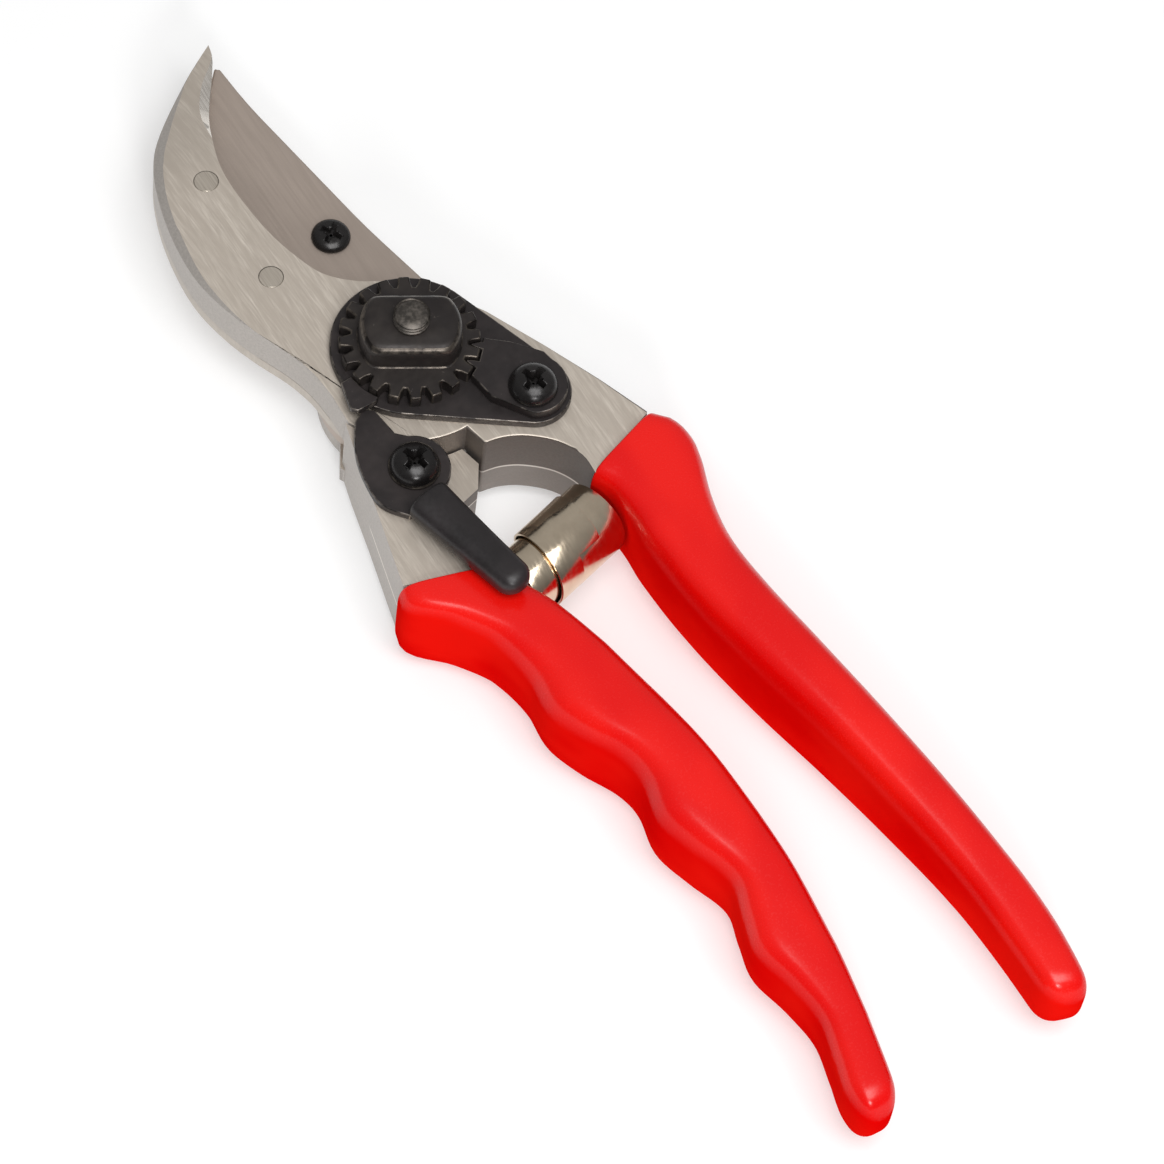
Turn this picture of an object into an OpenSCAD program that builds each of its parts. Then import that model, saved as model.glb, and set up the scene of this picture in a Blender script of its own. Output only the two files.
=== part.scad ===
// Bypass pruning shears: two forged handles on one pivot bolt, a bolted cutting blade,
// a riveted counter blade, a toothed adjusting nut with its lock, a thumb catch and a volute spring.
// Frame: the pivot axis is Z, z = 0 is the underside of the bolt head, +Y points to the blade tips.
// The jaws are drawn closed, which is the rest position.

/* [Pivot stack] */
// Thickness of the bolt head
head_t = 2.5; // [2:0.1:3.5]
// Diameter of the bolt head
head_d = 17; // [14:0.5:20]
// Thickness of the washer under the blade handle
washer_t = 0.5; // [0.4:0.1:1]
// Thickness of the blade handle's plate at the pivot
arm_t = 3.6; // [3:0.1:4.4]
// Thickness of the cutting blade
blade_t = 3; // [2.4:0.1:3.6]
// Thickness of the counter blade
counter_t = 2.4; // [2:0.1:3]
// Thickness of the hook forging
hook_t = 7.2; // [6:0.1:8.4]
// Diameter of the bolt shank
shank_d = 8; // [7:0.1:8.6]
// Wall of the bush that turns on the shank
bush_wall = 1; // [0.8:0.1:1.4]
// Diameter of the bolt's threaded end
thread_d = 5.8; // [4.8:0.1:6.4]
// Length of thread that shows above the nut
thread_show = 2.2; // [1:0.1:3]

/* [Hubs] */
// Radius of the hook handle's hub where it meets the blade handle
hub_r = 16.5; // [16:0.1:17.5]
// Radius of the blade handle's hub
arm_hub_r = 14; // [13:0.1:15]
// Radius of the cutting blade's hub
blade_hub_r = 14.4; // [14:0.1:16]
// Radius of the counter blade's hub
counter_hub_r = 14.9; // [14.4:0.1:16]
// Height of the lowered land beside the catch
land_h = 6; // [4:0.5:8]

/* [Lock] */
// Thickness of the lock plate
lock_t = 1.6; // [1.2:0.1:2.4]
// Width of the lock plate that shows round the nut
lock_rim = 1.3; // [0.9:0.1:1.6]
// Radius of the lock plate's narrow end
lock_end_r = 6.1; // [5.5:0.1:7]
// Thickness of the lip that hangs over the catch
lip_t = 1.2; // [0.8:0.1:1.6]
// Reach of the lip past the lock plate's edge
lip_reach = 2.6; // [1.8:0.1:3]
// Thickness of the toothed flange of the nut
nut_t = 2.5; // [2:0.1:3.5]
// Tip radius of the nut's teeth
nut_r = 11.3; // [10.6:0.1:11.6]
// Depth of the nut's teeth
tooth_h = 1.9; // [1.4:0.1:2.2]
// Number of teeth on the nut
teeth = 20; // [16:1:24]
// Height of the nut's boss
boss_h = 5; // [4:0.1:7]
// Diameter of the boss
boss_d = 16.3; // [14:0.1:17]
// Width across the boss's flats
boss_flats = 11; // [9:0.1:13]
// Thickness of the toothed segment
segment_t = 2; // [1.5:0.1:2.5]
// Play between the segment's teeth and the nut's
tooth_play = 0.3; // [0.2:0.05:0.4]

/* [Screws] */
// Diameter of the pan heads of the segment and catch screws
pan_d = 7.9; // [7:0.1:9]
// Height of those pan heads
pan_h = 2.8; // [2.2:0.1:3.4]
// Thread diameter of the segment, catch and blade screws
screw_d = 4; // [3:0.1:4.5]
// Depth that the segment and catch screws reach into the forging
screw_reach = 7.5; // [5:0.1:9]
// Shoulder diameter on which the catch turns
shoulder_d = 5; // [4.6:0.1:6]
// Head diameter of the blade screw
blade_head_d = 6.4; // [5.6:0.1:7.4]
// Head height of the blade screw
blade_head_h = 1.6; // [1.2:0.1:2]
// Diameter of the counter blade's rivets
rivet_d = 4.1; // [3:0.1:5]

/* [Catch] */
// Thickness of the catch plate
catch_t = 1.4; // [1:0.1:1.5]
// Radius of the catch plate round its screw
catch_r = 5.8; // [5.2:0.1:6.4]
// Thickness of the washer under the catch screw
catch_washer_t = 0.4; // [0.3:0.1:0.6]
// Width of the catch plate's tail
tail_w = 4; // [3:0.1:4.5]
// Length of the tail from beside the catch screw to the end of the sleeve
tail_len = 28.5; // [24:0.5:32]
// Width of the sleeve where it starts
sleeve_w = 7.6; // [6:0.1:8]
// Width of the sleeve near its end
sleeve_end_w = 5.6; // [5:0.1:7]
// Height of the sleeve's section
sleeve_h = 5; // [4.4:0.1:6]
// Turn of the tail from straight back, in degrees
tail_turn = 11; // [0:1:14]

/* [Grips] */
// Thickness of the soft coat on the handles
coat = 1; // [0.8:0.1:1.6]
// Thickness of a grip at its mouth
grip_mouth_t = 18.2; // [18.2:0.1:19]
// Thickness of a grip at its fullest
grip_full_t = 20; // [19:0.1:22]
// Thickness of a grip just before its rounded end
grip_end_t = 13.5; // [12:0.5:16]
// Where the hook handle's grip ends along its length
hook_grip_end = -145.9; // [-150:0.1:-144]
// How much lower that grip ends on its outer side
hook_end_skew = 2.2; // [0:0.1:3]
// Where the blade handle's grip ends along its length
blade_grip_end = -146.7; // [-149:0.1:-145]
// How much lower that grip ends on its inner side
blade_end_skew = 0.3; // [0:0.1:3]

/* [Spring] */
// Largest radius of the volute spring
spring_r = 6.3; // [5.5:0.1:6.8]
// Step from one wrap of the strip to the next
spring_step = 0.8; // [0.5:0.1:1.2]
// Bore radius of the spring
spring_bore = 3.2; // [3:0.1:3.6]

/* [Fits] */
// Gap between faces that slide on each other
slide = 0.05; // [0.03:0.01:0.1]
// Radial running gap of the bush and of the catch
running = 0.05; // [0.03:0.01:0.1]
// Gap between edges that pass each other
pass = 0.3; // [0.2:0.05:0.4]

/* [Hidden] */
$fn = 64;

bush_d = shank_d + 2 * bush_wall;
lock_r = nut_r + lock_rim;
// Heights of the stack, from the bolt head up
arm_z = head_t + washer_t;
blade_z = arm_z + arm_t;
part_z = blade_z + blade_t;
hook_z = part_z + counter_t;
face_z = hook_z + hook_t;
plate_z = face_z + lock_t;
nut_top = plate_z + nut_t + boss_h;
stack = face_z - arm_z;
mid_z = arm_z + stack / 2;
land_z = face_z - land_h;

// Places on the face, as [x, y]
rivets = [[-11.3, 43.3], [-11.7, 22.6]];
blade_screw_at = [3.9, 29.1];
catch_at = [-11, -19.2];
tail_root = [-14.2, -19.4];
lock_end = [12.7, -16.8];
segment_screw_at = [12.2, -17.2];
spring_left = [-5.85, -41.6];
spring_right = [12.7, -36.7];

// A smooth curve through hand-set points: Catmull-Rom, k steps between two points
function at(p, i) = p[max(0, min(len(p) - 1, i))];
function knot(p, i, t) = 0.5 * (2 * at(p, i) + t * (at(p, i + 1) - at(p, i - 1))
    + t * t * (2 * at(p, i - 1) - 5 * at(p, i) + 4 * at(p, i + 1) - at(p, i + 2))
    + t * t * t * (3 * at(p, i) - at(p, i - 1) - 3 * at(p, i + 1) + at(p, i + 2)));
function smooth(p, k) = [for (i = [0 : len(p) - 2], j = [0 : k - 1]) knot(p, i, j / k), p[len(p) - 1]];
// A point at radius r and angle a, and an arc about the pivot from angle a to angle b in n steps
function polar(r, a) = r * [cos(a), sin(a)];
function arc(r, a, b, n) = [for (i = [0 : n]) polar(r, a + (b - a) * i / n)];
// The value of curve c at y, where c is a list of [y, value] going down in y
function along(c, y) = let (i = max([for (j = [0 : len(c) - 2]) if (y <= c[j][0] || j == 0) j]),
    t = max(0, min(1, (c[i][0] - y) / (c[i][0] - c[i + 1][0])))) knot(c, i, t)[1];

// Outlines of the hook, which the counter blade shares
hook_back = smooth([[4.6, 68.8], [-2.5, 64], [-12.1, 56.3], [-16.7, 50.7], [-19.8, 43.5], [-21.6, 35.5],
    [-22.1, 28], [-21, 21], [-19.1, 15], [-16.6, 9], [-15.3, 4], [-14.9, -1]], 5);
hook_edge = smooth([[2.8, 13.3], [0, 14.9], [-3.2, 17.7], [-5.3, 21.1], [-7.4, 28.5], [-8.2, 36.5],
    [-7.9, 44.2], [-5.5, 51.3], [-2.1, 57.5], [3.1, 65], [4.6, 68.8]], 5);
// Radius of the hub's open side, between the hook's edge and the right arm
neck_r = 12.4;
// The right arm from the hub to the grip's mouth
arm_outer = [[14.7, 0], [19.5, -10.3], [23.5, -19.6], [26.9, -28.6]];
arm_arch = smooth([[13.6, -33.7], [13.6, -30], [11.6, -26], [8, -22.7], [4.6, -21], [1.4, -20.4]], 5);
stop_deg = 272;

// The left arm, its outer wall and its inner wall
left_outer = [[-17.2, -12], [-19.3, -20.7], [-23.2, -35.6]];
left_inner = [[-8.4, -40.3], [-9.3, -33], [-8.5, -26]];
heel_deg = 202.8;

module slab(z0, z1) translate([0, 0, z0]) linear_extrude(z1 - z0) children();
module bore(d) translate([0, 0, -1]) cylinder(d = d, h = nut_top + 2);
module at_xy(p, z = 0) translate([p[0], p[1], z]) children();

// ---- grips: a loft between two side rails, lists of [y, x] ----
left_rail_out = [[-35.6, -24.2], [-39, -24.6], [-44, -19.9], [-50, -16], [-58, -14.4], [-65, -14.9],
    [-71, -12.9], [-77, -9.8], [-82, -9], [-89, -10.4], [-95, -9], [-103, -6.5], [-109, -8.1],
    [-115, -9.6], [-122, -8.2], [-129, -7.5], [-136, -9.2], [-141, -10.6], [-150, -10.6]];
left_rail_in = [[-40.5, -7.4], [-50, -3.3], [-60, -0.3], [-75, 2.5], [-90, 3.9], [-105, 3.7],
    [-120, 2.1], [-132, -0.3], [-141, -2.5], [-150, -5]];
right_rail_in = [[-33.7, 12.8], [-37, 14.2], [-42, 14.5], [-48, 14], [-60, 14.5], [-75, 16.7],
    [-90, 19.7], [-105, 22.2], [-120, 24.1], [-132, 24.5], [-150, 24.2]];
right_rail_out = [[-28.6, 27.9], [-31, 30.1], [-34, 31], [-38, 30.7], [-46, 28.1], [-53, 26.7],
    [-62, 26.9], [-75, 28.4], [-90, 30.3], [-105, 32], [-120, 33.1], [-130, 33.4], [-138, 32.8],
    [-150, 31]];
// Thickness along a grip, and how far and how squarely its end is rounded
thick_at = [[-28, grip_mouth_t], [-40, grip_mouth_t + 0.6], [-62, grip_full_t - 0.3], [-80, grip_full_t],
    [-100, grip_full_t - 2], [-125, grip_end_t + 1.4], [-142, grip_end_t], [-152, grip_end_t - 1]];
round_end = 4.6;
round_shape = 0.78;
rings = 32;
cap_rings = 5;
ring_n = 20;
// How square a grip's section is along it: 2 is an oval, and more is squarer
power_at = [[-28, 6], [-36, 5.4], [-48, 4], [-60, 3.4], [-152, 3.4]];
tang_lead = 4;
lead_size = 0.8;

function sgn_pow(v, e) = sign(v) * pow(abs(v), e);
// One ring of a grip: a and b are the rail points, h the thickness, f the shrink of the round end,
// skin how far the ring lies inside the grip's surface, e how square it is
function ring(a, b, h, f, skin, e) = let (c = (a + b) / 2, w = norm(b - a) / 2, u = (b - a) / (2 * w))
    [for (k = [0 : ring_n - 1]) let (t = 360 * k / ring_n,
        x = (w * f - skin) * sgn_pow(cos(t), 2 / e), z = (h / 2 * f - skin) * sgn_pow(sin(t), 2 / e))
        [c[0] + u[0] * x, c[1] + u[1] * x, mid_z + z]];
// All rings of a grip, from the mouth to its end; la and lb are the rails, the mouth starts at ya and yb,
// and rail b ends lower than rail a by end_skew
function grip_rings(la, lb, ya, yb, end, end_skew, skin, lead) =
    let (stop_a = end + end_skew / 2 + round_end, stop_b = end - end_skew / 2 + round_end)
    concat([for (i = [lead > 0 ? -1 : 0 : rings]) let (t = max(i, 0) / rings, up = i < 0 ? lead : 0,
            y1 = ya + (stop_a - ya) * t, y2 = yb + (stop_b - yb) * t)
            ring([along(la, y1), y1 + up], [along(lb, y2), y2 + up], along(thick_at, y1),
                i < 0 ? lead_size : 1, skin, along(power_at, y1))],
        [for (i = [1 : cap_rings]) let (s = 88 * i / cap_rings, down = (round_end - skin)
            * pow(sin(s), round_shape), g = max(pow(cos(s), round_shape), 0.06))
            ring([along(la, stop_a - down), stop_a - down], [along(lb, stop_b - down), stop_b - down],
                along(thick_at, stop_a - down), g + skin * (1 - g) * 2 / grip_end_t, skin,
                along(power_at, stop_a - down))]);
// Faces of a tube of m rings that starts at point k0, wound outwards or inwards
function tube(m, k0, flip) = [for (i = [0 : m - 2], j = [0 : ring_n - 1]) let (
    a = k0 + i * ring_n + j, b = k0 + i * ring_n + (j + 1) % ring_n, c = b + ring_n, d = a + ring_n)
    each flip ? [[a, b, c], [a, c, d]] : [[c, b, a], [d, c, a]]];
function fan(k0, flip) = [for (j = [1 : ring_n - 2]) flip ? [k0, k0 + j, k0 + j + 1]
    : [k0 + j + 1, k0 + j, k0]];

// A solid bar of rings
module bar(r) {
    m = len(r);
    polyhedron([for (q = r) each q], concat(tube(m, 0, false), fan(0, true), fan((m - 1) * ring_n, false)));
}
// A shell between outer rings and inner rings, open at the first ring of each
module shell(outer, inner) {
    m = len(outer);
    n = len(inner);
    k = m * ring_n;
    mouth = [for (j = [0 : ring_n - 1]) let (a = j, b = (j + 1) % ring_n)
        each [[a, b, k + b], [a, k + b, k + a]]];
    polyhedron(concat([for (q = outer) each q], [for (q = inner) each q]),
        concat(tube(m, 0, false), fan((m - 1) * ring_n, false), tube(n, k, true),
            fan(k + (n - 1) * ring_n, true), mouth));
}

function hook_rings(skin, lead = 0) =
    grip_rings(right_rail_in, right_rail_out, -33.7, -28.6, hook_grip_end, hook_end_skew, skin, lead);
function blade_rings(skin, lead = 0) =
    grip_rings(left_rail_out, left_rail_in, -35.6, -40.5, blade_grip_end, blade_end_skew, skin, lead);

// ---- outlines ----
module hook_outline() polygon(concat(hook_back, arc(hub_r, heel_deg, stop_deg, 12),
    [for (i = [len(arm_arch) - 1 : -1 : 0]) arm_arch[i]], [for (i = [3 : -1 : 0]) arm_outer[i]],
    arc(neck_r, 35, 72, 6), hook_edge));
module counter_outline() polygon(concat(hook_back, arc(counter_hub_r, 184, 360, 24),
    arc(neck_r, 35, 72, 6), hook_edge));
// The cutting blade, with its spine on the right and its edge on the left, behind the counter blade
blade_edge = smooth([[-12.3, 7.5], [-11.4, 15], [-12.2, 25], [-11.6, 35], [-9.6, 45], [-5.6, 54.5],
    [0, 61.5], [4.4, 66.4]], 4);
blade_spine = smooth([[5.2, 66], [5.7, 58], [7, 48.2], [8.4, 38.4], [10.1, 27.6], [11.9, 18.7],
    [13.4, 11.5]], 3);
module blade_outline() polygon(concat(blade_edge, blade_spine, arc(blade_hub_r, 15, -211, 28)));
module left_outline(right) polygon(concat(arc(hub_r + pass, heel_deg - 1, right[0], 10), right[1],
    [left_inner[2], left_inner[1], left_inner[0]], [left_outer[2], left_outer[1], left_outer[0]]));
module lock_outline() hull() {
    circle(lock_r);
    at_xy(lock_end) circle(lock_end_r);
}

// A cross recess for a screwdriver, cut down from z = 0
module cross_recess(w) for (a = [20, 110])
    rotate(a) translate([-w / 2, -w / 8, -w / 2.6]) cube([w, w / 4, w]);
// A domed screw head of diameter d and height h that stands on z = 0
module dome_head(d, h) difference() {
    rotate_extrude() intersection() {
        scale([d / 2, h]) translate([0, 0.16]) circle(1.06, $fn = 96);
        square([d / 2, h]);
    }
    translate([0, 0, h]) cross_recess(d * 0.52);
}

// ---- hook side ----
module hook_handle() color("silver") {
    difference() {
        union() {
            slab(hook_z, face_z) hook_outline();
            slab(arm_z, hook_z) difference() {
                intersection() {
                    hook_outline();
                    translate([0, -60]) square([40, 60]);
                }
                circle(hub_r + pass);
            }
        }
        bore(shank_d);
        for (p = rivets) at_xy(p) bore(rivet_d);
        at_xy(segment_screw_at, face_z - screw_reach) cylinder(d = screw_d, h = screw_reach + 1);
        // the forging thins towards the tip of the hook
        translate([-40, 47, face_z]) rotate([-15.5, 0, 0]) cube([60, 40, 12]);
    }
    bar(hook_rings(coat, tang_lead));
}
module hook_grip() color("red") {
    shell(hook_rings(0), hook_rings(coat));
}
module counter_blade() color("lightgray") difference() {
    slab(part_z, hook_z) counter_outline();
    bore(shank_d);
    for (p = rivets) at_xy(p) bore(rivet_d);
}
module counter_blade_rivets() color("gainsboro") for (p = rivets)
    at_xy(p, part_z + slide) cylinder(d = rivet_d, h = face_z - part_z);
module lock_plate() color("dimgray") difference() {
    union() {
        slab(face_z, plate_z) lock_outline();
        // the lip that hangs over the nose of the catch
        slab(plate_z, plate_z + lip_t) polygon(concat(arc(nut_r + slide, 184, 213, 6),
            [polar(lock_r - 0.4, 213.3), polar(lock_r + lip_reach, 206.2),
            polar(lock_r + lip_reach + 0.4, 201.8), polar(lock_r + 0.8, 184.3)]));
    }
    bore(shank_d);
    at_xy(segment_screw_at) bore(screw_d);
}
// A point at radius r and at part t of one tooth's pitch from the middle of gap i
function gear_point(r, i, t) = polar(r, (i + t) * 360 / teeth);
module nut_outline() polygon([for (i = [0 : teeth - 1]) each [gear_point(nut_r, i, -0.25),
    gear_point(nut_r - tooth_h + 0.7, i, -0.18), gear_point(nut_r - tooth_h, i, -0.08),
    gear_point(nut_r - tooth_h, i, 0.08), gear_point(nut_r - tooth_h + 0.7, i, 0.18),
    gear_point(nut_r, i, 0.25)]]);
module adjusting_nut() color("dimgray") difference() {
    union() {
        slab(plate_z, plate_z + nut_t) nut_outline();
        slab(plate_z + nut_t, nut_top) intersection() {
            circle(d = boss_d);
            rotate(-30) square([boss_d, boss_flats], center = true);
        }
    }
    bore(thread_d);
}
module pivot_bolt() color("gray") {
    rotate_extrude() polygon([[0, 0], [head_d / 2 - 0.8, 0], [head_d / 2, 0.8], [head_d / 2, head_t],
        [shank_d / 2, head_t], [shank_d / 2, plate_z], [thread_d / 2, plate_z],
        [thread_d / 2, nut_top + thread_show - 0.7], [thread_d / 2 - 0.7, nut_top + thread_show],
        [0, nut_top + thread_show]]);
}
module pivot_washer() color("silver") difference() {
    slab(head_t, arm_z - slide) circle(d = head_d - 2);
    bore(shank_d);
}
// The segment's teeth sit in gaps -3 and -2 of the nut, and its tail lies round the screw
segment_r = nut_r + tooth_play;
function arc_at(c, r, a, b, n) = [for (q = arc(r, a, b, n)) c + q];
segment_teeth = [for (i = [-3 : -2]) each [gear_point(segment_r, i, -0.2),
    gear_point(segment_r - tooth_h + 0.7, i, -0.13), gear_point(segment_r - tooth_h, i, -0.05),
    gear_point(segment_r - tooth_h, i, 0.05), gear_point(segment_r - tooth_h + 0.7, i, 0.13),
    gear_point(segment_r, i, 0.2)]];
module segment_outline() polygon(concat([gear_point(segment_r, -3.6, 0)], segment_teeth,
    [gear_point(segment_r, -1.6, 0), [13.6, -8.4], [17.2, -12.6]],
    arc_at(lock_end, lock_end_r - 0.7, 25, -125, 14), [[5.6, -15.4]]));
module toothed_segment() color("dimgray") difference() {
    slab(plate_z, plate_z + segment_t) segment_outline();
    at_xy(segment_screw_at) bore(screw_d);
}
module segment_screw() color("dimgray") at_xy(segment_screw_at, plate_z + segment_t) {
    dome_head(pan_d, pan_h);
    translate([0, 0, -segment_t - lock_t - screw_reach])
        cylinder(d = screw_d, h = segment_t + lock_t + screw_reach);
}

// ---- blade side ----
washer_top = face_z + catch_t + 3 * slide + catch_washer_t;
module blade_handle() color("silver") {
    difference() {
        union() {
            slab(arm_z, land_z) left_outline([269.5, [[0.7, -20.4], [-1.8, -24.2]]]);
            slab(arm_z, face_z) left_outline([247, [[-6.4, -20]]]);
            slab(arm_z, blade_z) {
                circle(arm_hub_r);
                polygon(concat(arc(arm_hub_r - 1, 268, 186, 10), arc(hub_r + pass + 1, 203, 266, 10)));
                hull() {
                    circle(arm_hub_r - 3);
                    at_xy(blade_screw_at) circle(5.2);
                }
            }
        }
        bore(bush_d);
        at_xy(blade_screw_at) bore(screw_d);
        at_xy(catch_at, face_z - screw_reach) cylinder(d = screw_d, h = screw_reach + 1);
    }
    bar(blade_rings(coat, tang_lead));
}
module blade_grip() color("red") {
    shell(blade_rings(0), blade_rings(coat));
}
module cutting_blade() color("darkgray") difference() {
    slab(blade_z, part_z - slide) blade_outline();
    bore(bush_d);
    at_xy(blade_screw_at) bore(screw_d);
}
module blade_screw() color("dimgray") at_xy(blade_screw_at, part_z - slide) {
    dome_head(blade_head_d, blade_head_h);
    translate([0, 0, slide - blade_t - arm_t]) cylinder(d = screw_d, h = blade_t + arm_t - slide);
}
module pivot_bush() color("goldenrod") difference() {
    slab(arm_z + slide, part_z - 2 * slide) circle(d = bush_d);
    bore(shank_d + 2 * running);
}
module catch_screw() color("dimgray") at_xy(catch_at) {
    translate([0, 0, washer_top]) dome_head(pan_d, pan_h);
    slab(face_z, washer_top) circle(d = shoulder_d);
    slab(face_z - screw_reach, face_z) circle(d = screw_d);
}
module catch_washer() color("gray") at_xy(catch_at) difference() {
    slab(washer_top - catch_washer_t, washer_top) circle(d = pan_d + 0.4);
    bore(shoulder_d);
}
spring_dir = (spring_right - spring_left) / norm(spring_right - spring_left);
spring_len = norm(spring_right - spring_left);
module on_spring_axis() translate([spring_left[0], spring_left[1], mid_z])
    rotate([0, 0, atan2(spring_dir[1], spring_dir[0])]) rotate([0, 90, 0]) children();
// The wound strip, drawn as the stepped tube that its wraps fill
module return_spring() color("lightgray") on_spring_axis() rotate_extrude() polygon([
    [spring_bore, 0], [spring_r - spring_step, 0], [spring_r - spring_step, spring_len * 0.38],
    [spring_r, spring_len * 0.38], [spring_r, spring_len * 0.76],
    [spring_r - spring_step / 2, spring_len * 0.76], [spring_r - spring_step / 2, spring_len],
    [spring_bore, spring_len]]);

// ---- thumb catch ----
catch_z = face_z + slide;
catch_back = smooth([[-14.7, -7.5], [-17.6, -12.3], [-19, -17.5], [-19, -22.3], [-16.2, -26.3]], 5);
module catch_outline() {
    difference() {
        polygon(concat([[-10.9, -7.2], [-12.5, -6.2]], catch_back, [[-9, -25.8], [-8.7, -13.9],
            [-10.3, -12.4]]));
        circle(lock_r + pass);
    }
    at_xy(catch_at) circle(catch_r);
}
// Side profile of the bent tail: [distance along the tail, height]
tail_rise = 2.6;
tail_profile = [[4, 0], [7, 0], [tail_len - 5, tail_rise], [tail_len - 5, tail_rise + catch_t],
    [7, catch_t], [4, catch_t]];
module along_tail() at_xy(tail_root, catch_z) rotate(-90 + tail_turn) children();
module tail() along_tail() translate([0, tail_w / 2, 0]) rotate([90, 0, 0]) linear_extrude(tail_w)
    polygon(tail_profile);
module catch_plate() color("dimgray") difference() {
    union() {
        slab(catch_z, catch_z + catch_t) catch_outline();
        tail();
    }
    at_xy(catch_at) bore(shoulder_d + 2 * running);
}
sleeve_start = 6.2;
sleeve_lift = 0.65;
function sleeve_ring(s, f) = let (t = (s - sleeve_start) / (tail_len - sleeve_start),
    w = sleeve_w + (sleeve_end_w - sleeve_w) * t, zc = sleeve_lift + sleeve_h / 2 + tail_rise / 2 * t * t)
    [for (k = [0 : ring_n - 1]) let (a = 360 * k / ring_n)
        [s, w / 2 * f * sgn_pow(cos(a), 2 / 2.6), zc + sleeve_h / 2 * f * sgn_pow(sin(a), 2 / 2.6)]];
sleeve_rings = concat([sleeve_ring(sleeve_start, 0.86)],
    [for (i = [0 : 5]) sleeve_ring(sleeve_start + 0.5 + i * (tail_len - sleeve_start - 3.3) / 5, 1)],
    [for (a = [22.5 : 22.5 : 88]) sleeve_ring(tail_len - 2.8 + 2.8 * sin(a), cos(a))],
    [sleeve_ring(tail_len, 0.08)]);
module catch_sleeve() color("black") difference() {
    along_tail() bar(sleeve_rings);
    tail();
    slab(catch_z - 1, catch_z + catch_t) catch_outline();
}

hook_handle();
hook_grip();
counter_blade();
counter_blade_rivets();
lock_plate();
adjusting_nut();
pivot_bolt();
pivot_washer();
toothed_segment();
segment_screw();
blade_handle();
blade_grip();
cutting_blade();
blade_screw();
pivot_bush();
catch_screw();
catch_washer();
return_spring();
catch_plate();
catch_sleeve();
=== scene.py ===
"""Bypass pruning shears: forged handles in a dipped red coat, a cutting blade and a riveted counter
blade, a toothed adjusting nut with its lock, a thumb catch and a volute spring.

Each sub-assembly is a class. Its fields are its sizes in millimetres and its methods model the pieces
in metres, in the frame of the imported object, and give them their finishes.
"""
import logging
import math
from dataclasses import dataclass
from enum import Enum
from typing import Callable, ClassVar, Sequence

import bmesh
import bpy
from mathutils import Matrix, Vector
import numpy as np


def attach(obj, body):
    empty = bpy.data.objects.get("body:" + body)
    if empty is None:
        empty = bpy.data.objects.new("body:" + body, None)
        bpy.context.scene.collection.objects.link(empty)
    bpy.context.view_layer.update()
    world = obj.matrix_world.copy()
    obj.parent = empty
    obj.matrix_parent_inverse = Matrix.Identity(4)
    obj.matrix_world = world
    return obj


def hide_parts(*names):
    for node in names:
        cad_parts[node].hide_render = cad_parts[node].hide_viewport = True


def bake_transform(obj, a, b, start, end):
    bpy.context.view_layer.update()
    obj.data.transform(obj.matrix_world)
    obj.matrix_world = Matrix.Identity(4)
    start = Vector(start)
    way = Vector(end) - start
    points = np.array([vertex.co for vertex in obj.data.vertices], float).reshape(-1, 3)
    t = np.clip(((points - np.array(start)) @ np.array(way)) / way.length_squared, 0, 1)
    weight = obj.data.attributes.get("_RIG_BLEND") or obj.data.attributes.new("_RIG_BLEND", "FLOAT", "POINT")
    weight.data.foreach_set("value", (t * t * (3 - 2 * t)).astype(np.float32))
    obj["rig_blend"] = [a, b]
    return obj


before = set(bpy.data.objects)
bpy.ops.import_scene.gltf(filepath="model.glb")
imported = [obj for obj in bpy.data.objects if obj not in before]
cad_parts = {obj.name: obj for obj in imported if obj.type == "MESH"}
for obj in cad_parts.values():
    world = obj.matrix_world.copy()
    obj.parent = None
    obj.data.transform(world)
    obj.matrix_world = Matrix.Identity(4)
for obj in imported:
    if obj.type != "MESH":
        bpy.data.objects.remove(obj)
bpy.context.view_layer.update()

log = logging.getLogger("shears")

MM = 0.001
WELD = 2e-6
# the axes that several pieces share, in millimetres, and radii that hold the walls of their bores
PIVOT, BOLT_BORE, BUSH_BORE = (0, 0), 4.3, 5.3
SEGMENT_SCREW, CATCH_SCREW, BLADE_SCREW, SCREW_BORE = (12.2, -17.2), (-11.0, -19.2), (3.9, 29.1), 2.3

Point = tuple[float, float]
Triple = tuple[float, float, float]
Rgb = tuple[int, int, int]
Section = list[Vector]
Bores = Sequence[tuple[Point, float]]
Piece = bpy.types.Object
Socket = bpy.types.NodeSocket
Material = bpy.types.Material


class Body(Enum):
    """The moving bodies that a piece can ride on."""

    HOOK = "hook_side"
    BLADE = "blade_side"
    CATCH = "thumb_catch"


class Slot(Enum):
    """The material slots, by name."""

    FORGED = "forged_aluminium"
    COAT = "red_coat"
    GROUND = "ground_steel"
    BLADE = "blade_steel"
    OXIDE = "black_oxide_steel"
    BOLT = "bolt_steel"
    SCREW = "black_screws"
    BRONZE = "bronze"
    SPRING = "spring_nickel"
    MOULDED = "black_moulding"


def srgb(red: int, green: int, blue: int) -> tuple[float, float, float, float]:
    """A display colour of 0 to 255 as linear light with full opacity."""
    def linear(value: int) -> float:
        """One channel as linear light."""
        share = value / 255
        return share / 12.92 if share <= 0.04045 else ((share + 0.055) / 1.055) ** 2.4
    return (linear(red), linear(green), linear(blue), 1.0)


# ---------------------------------------------------------------- finishes


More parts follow.
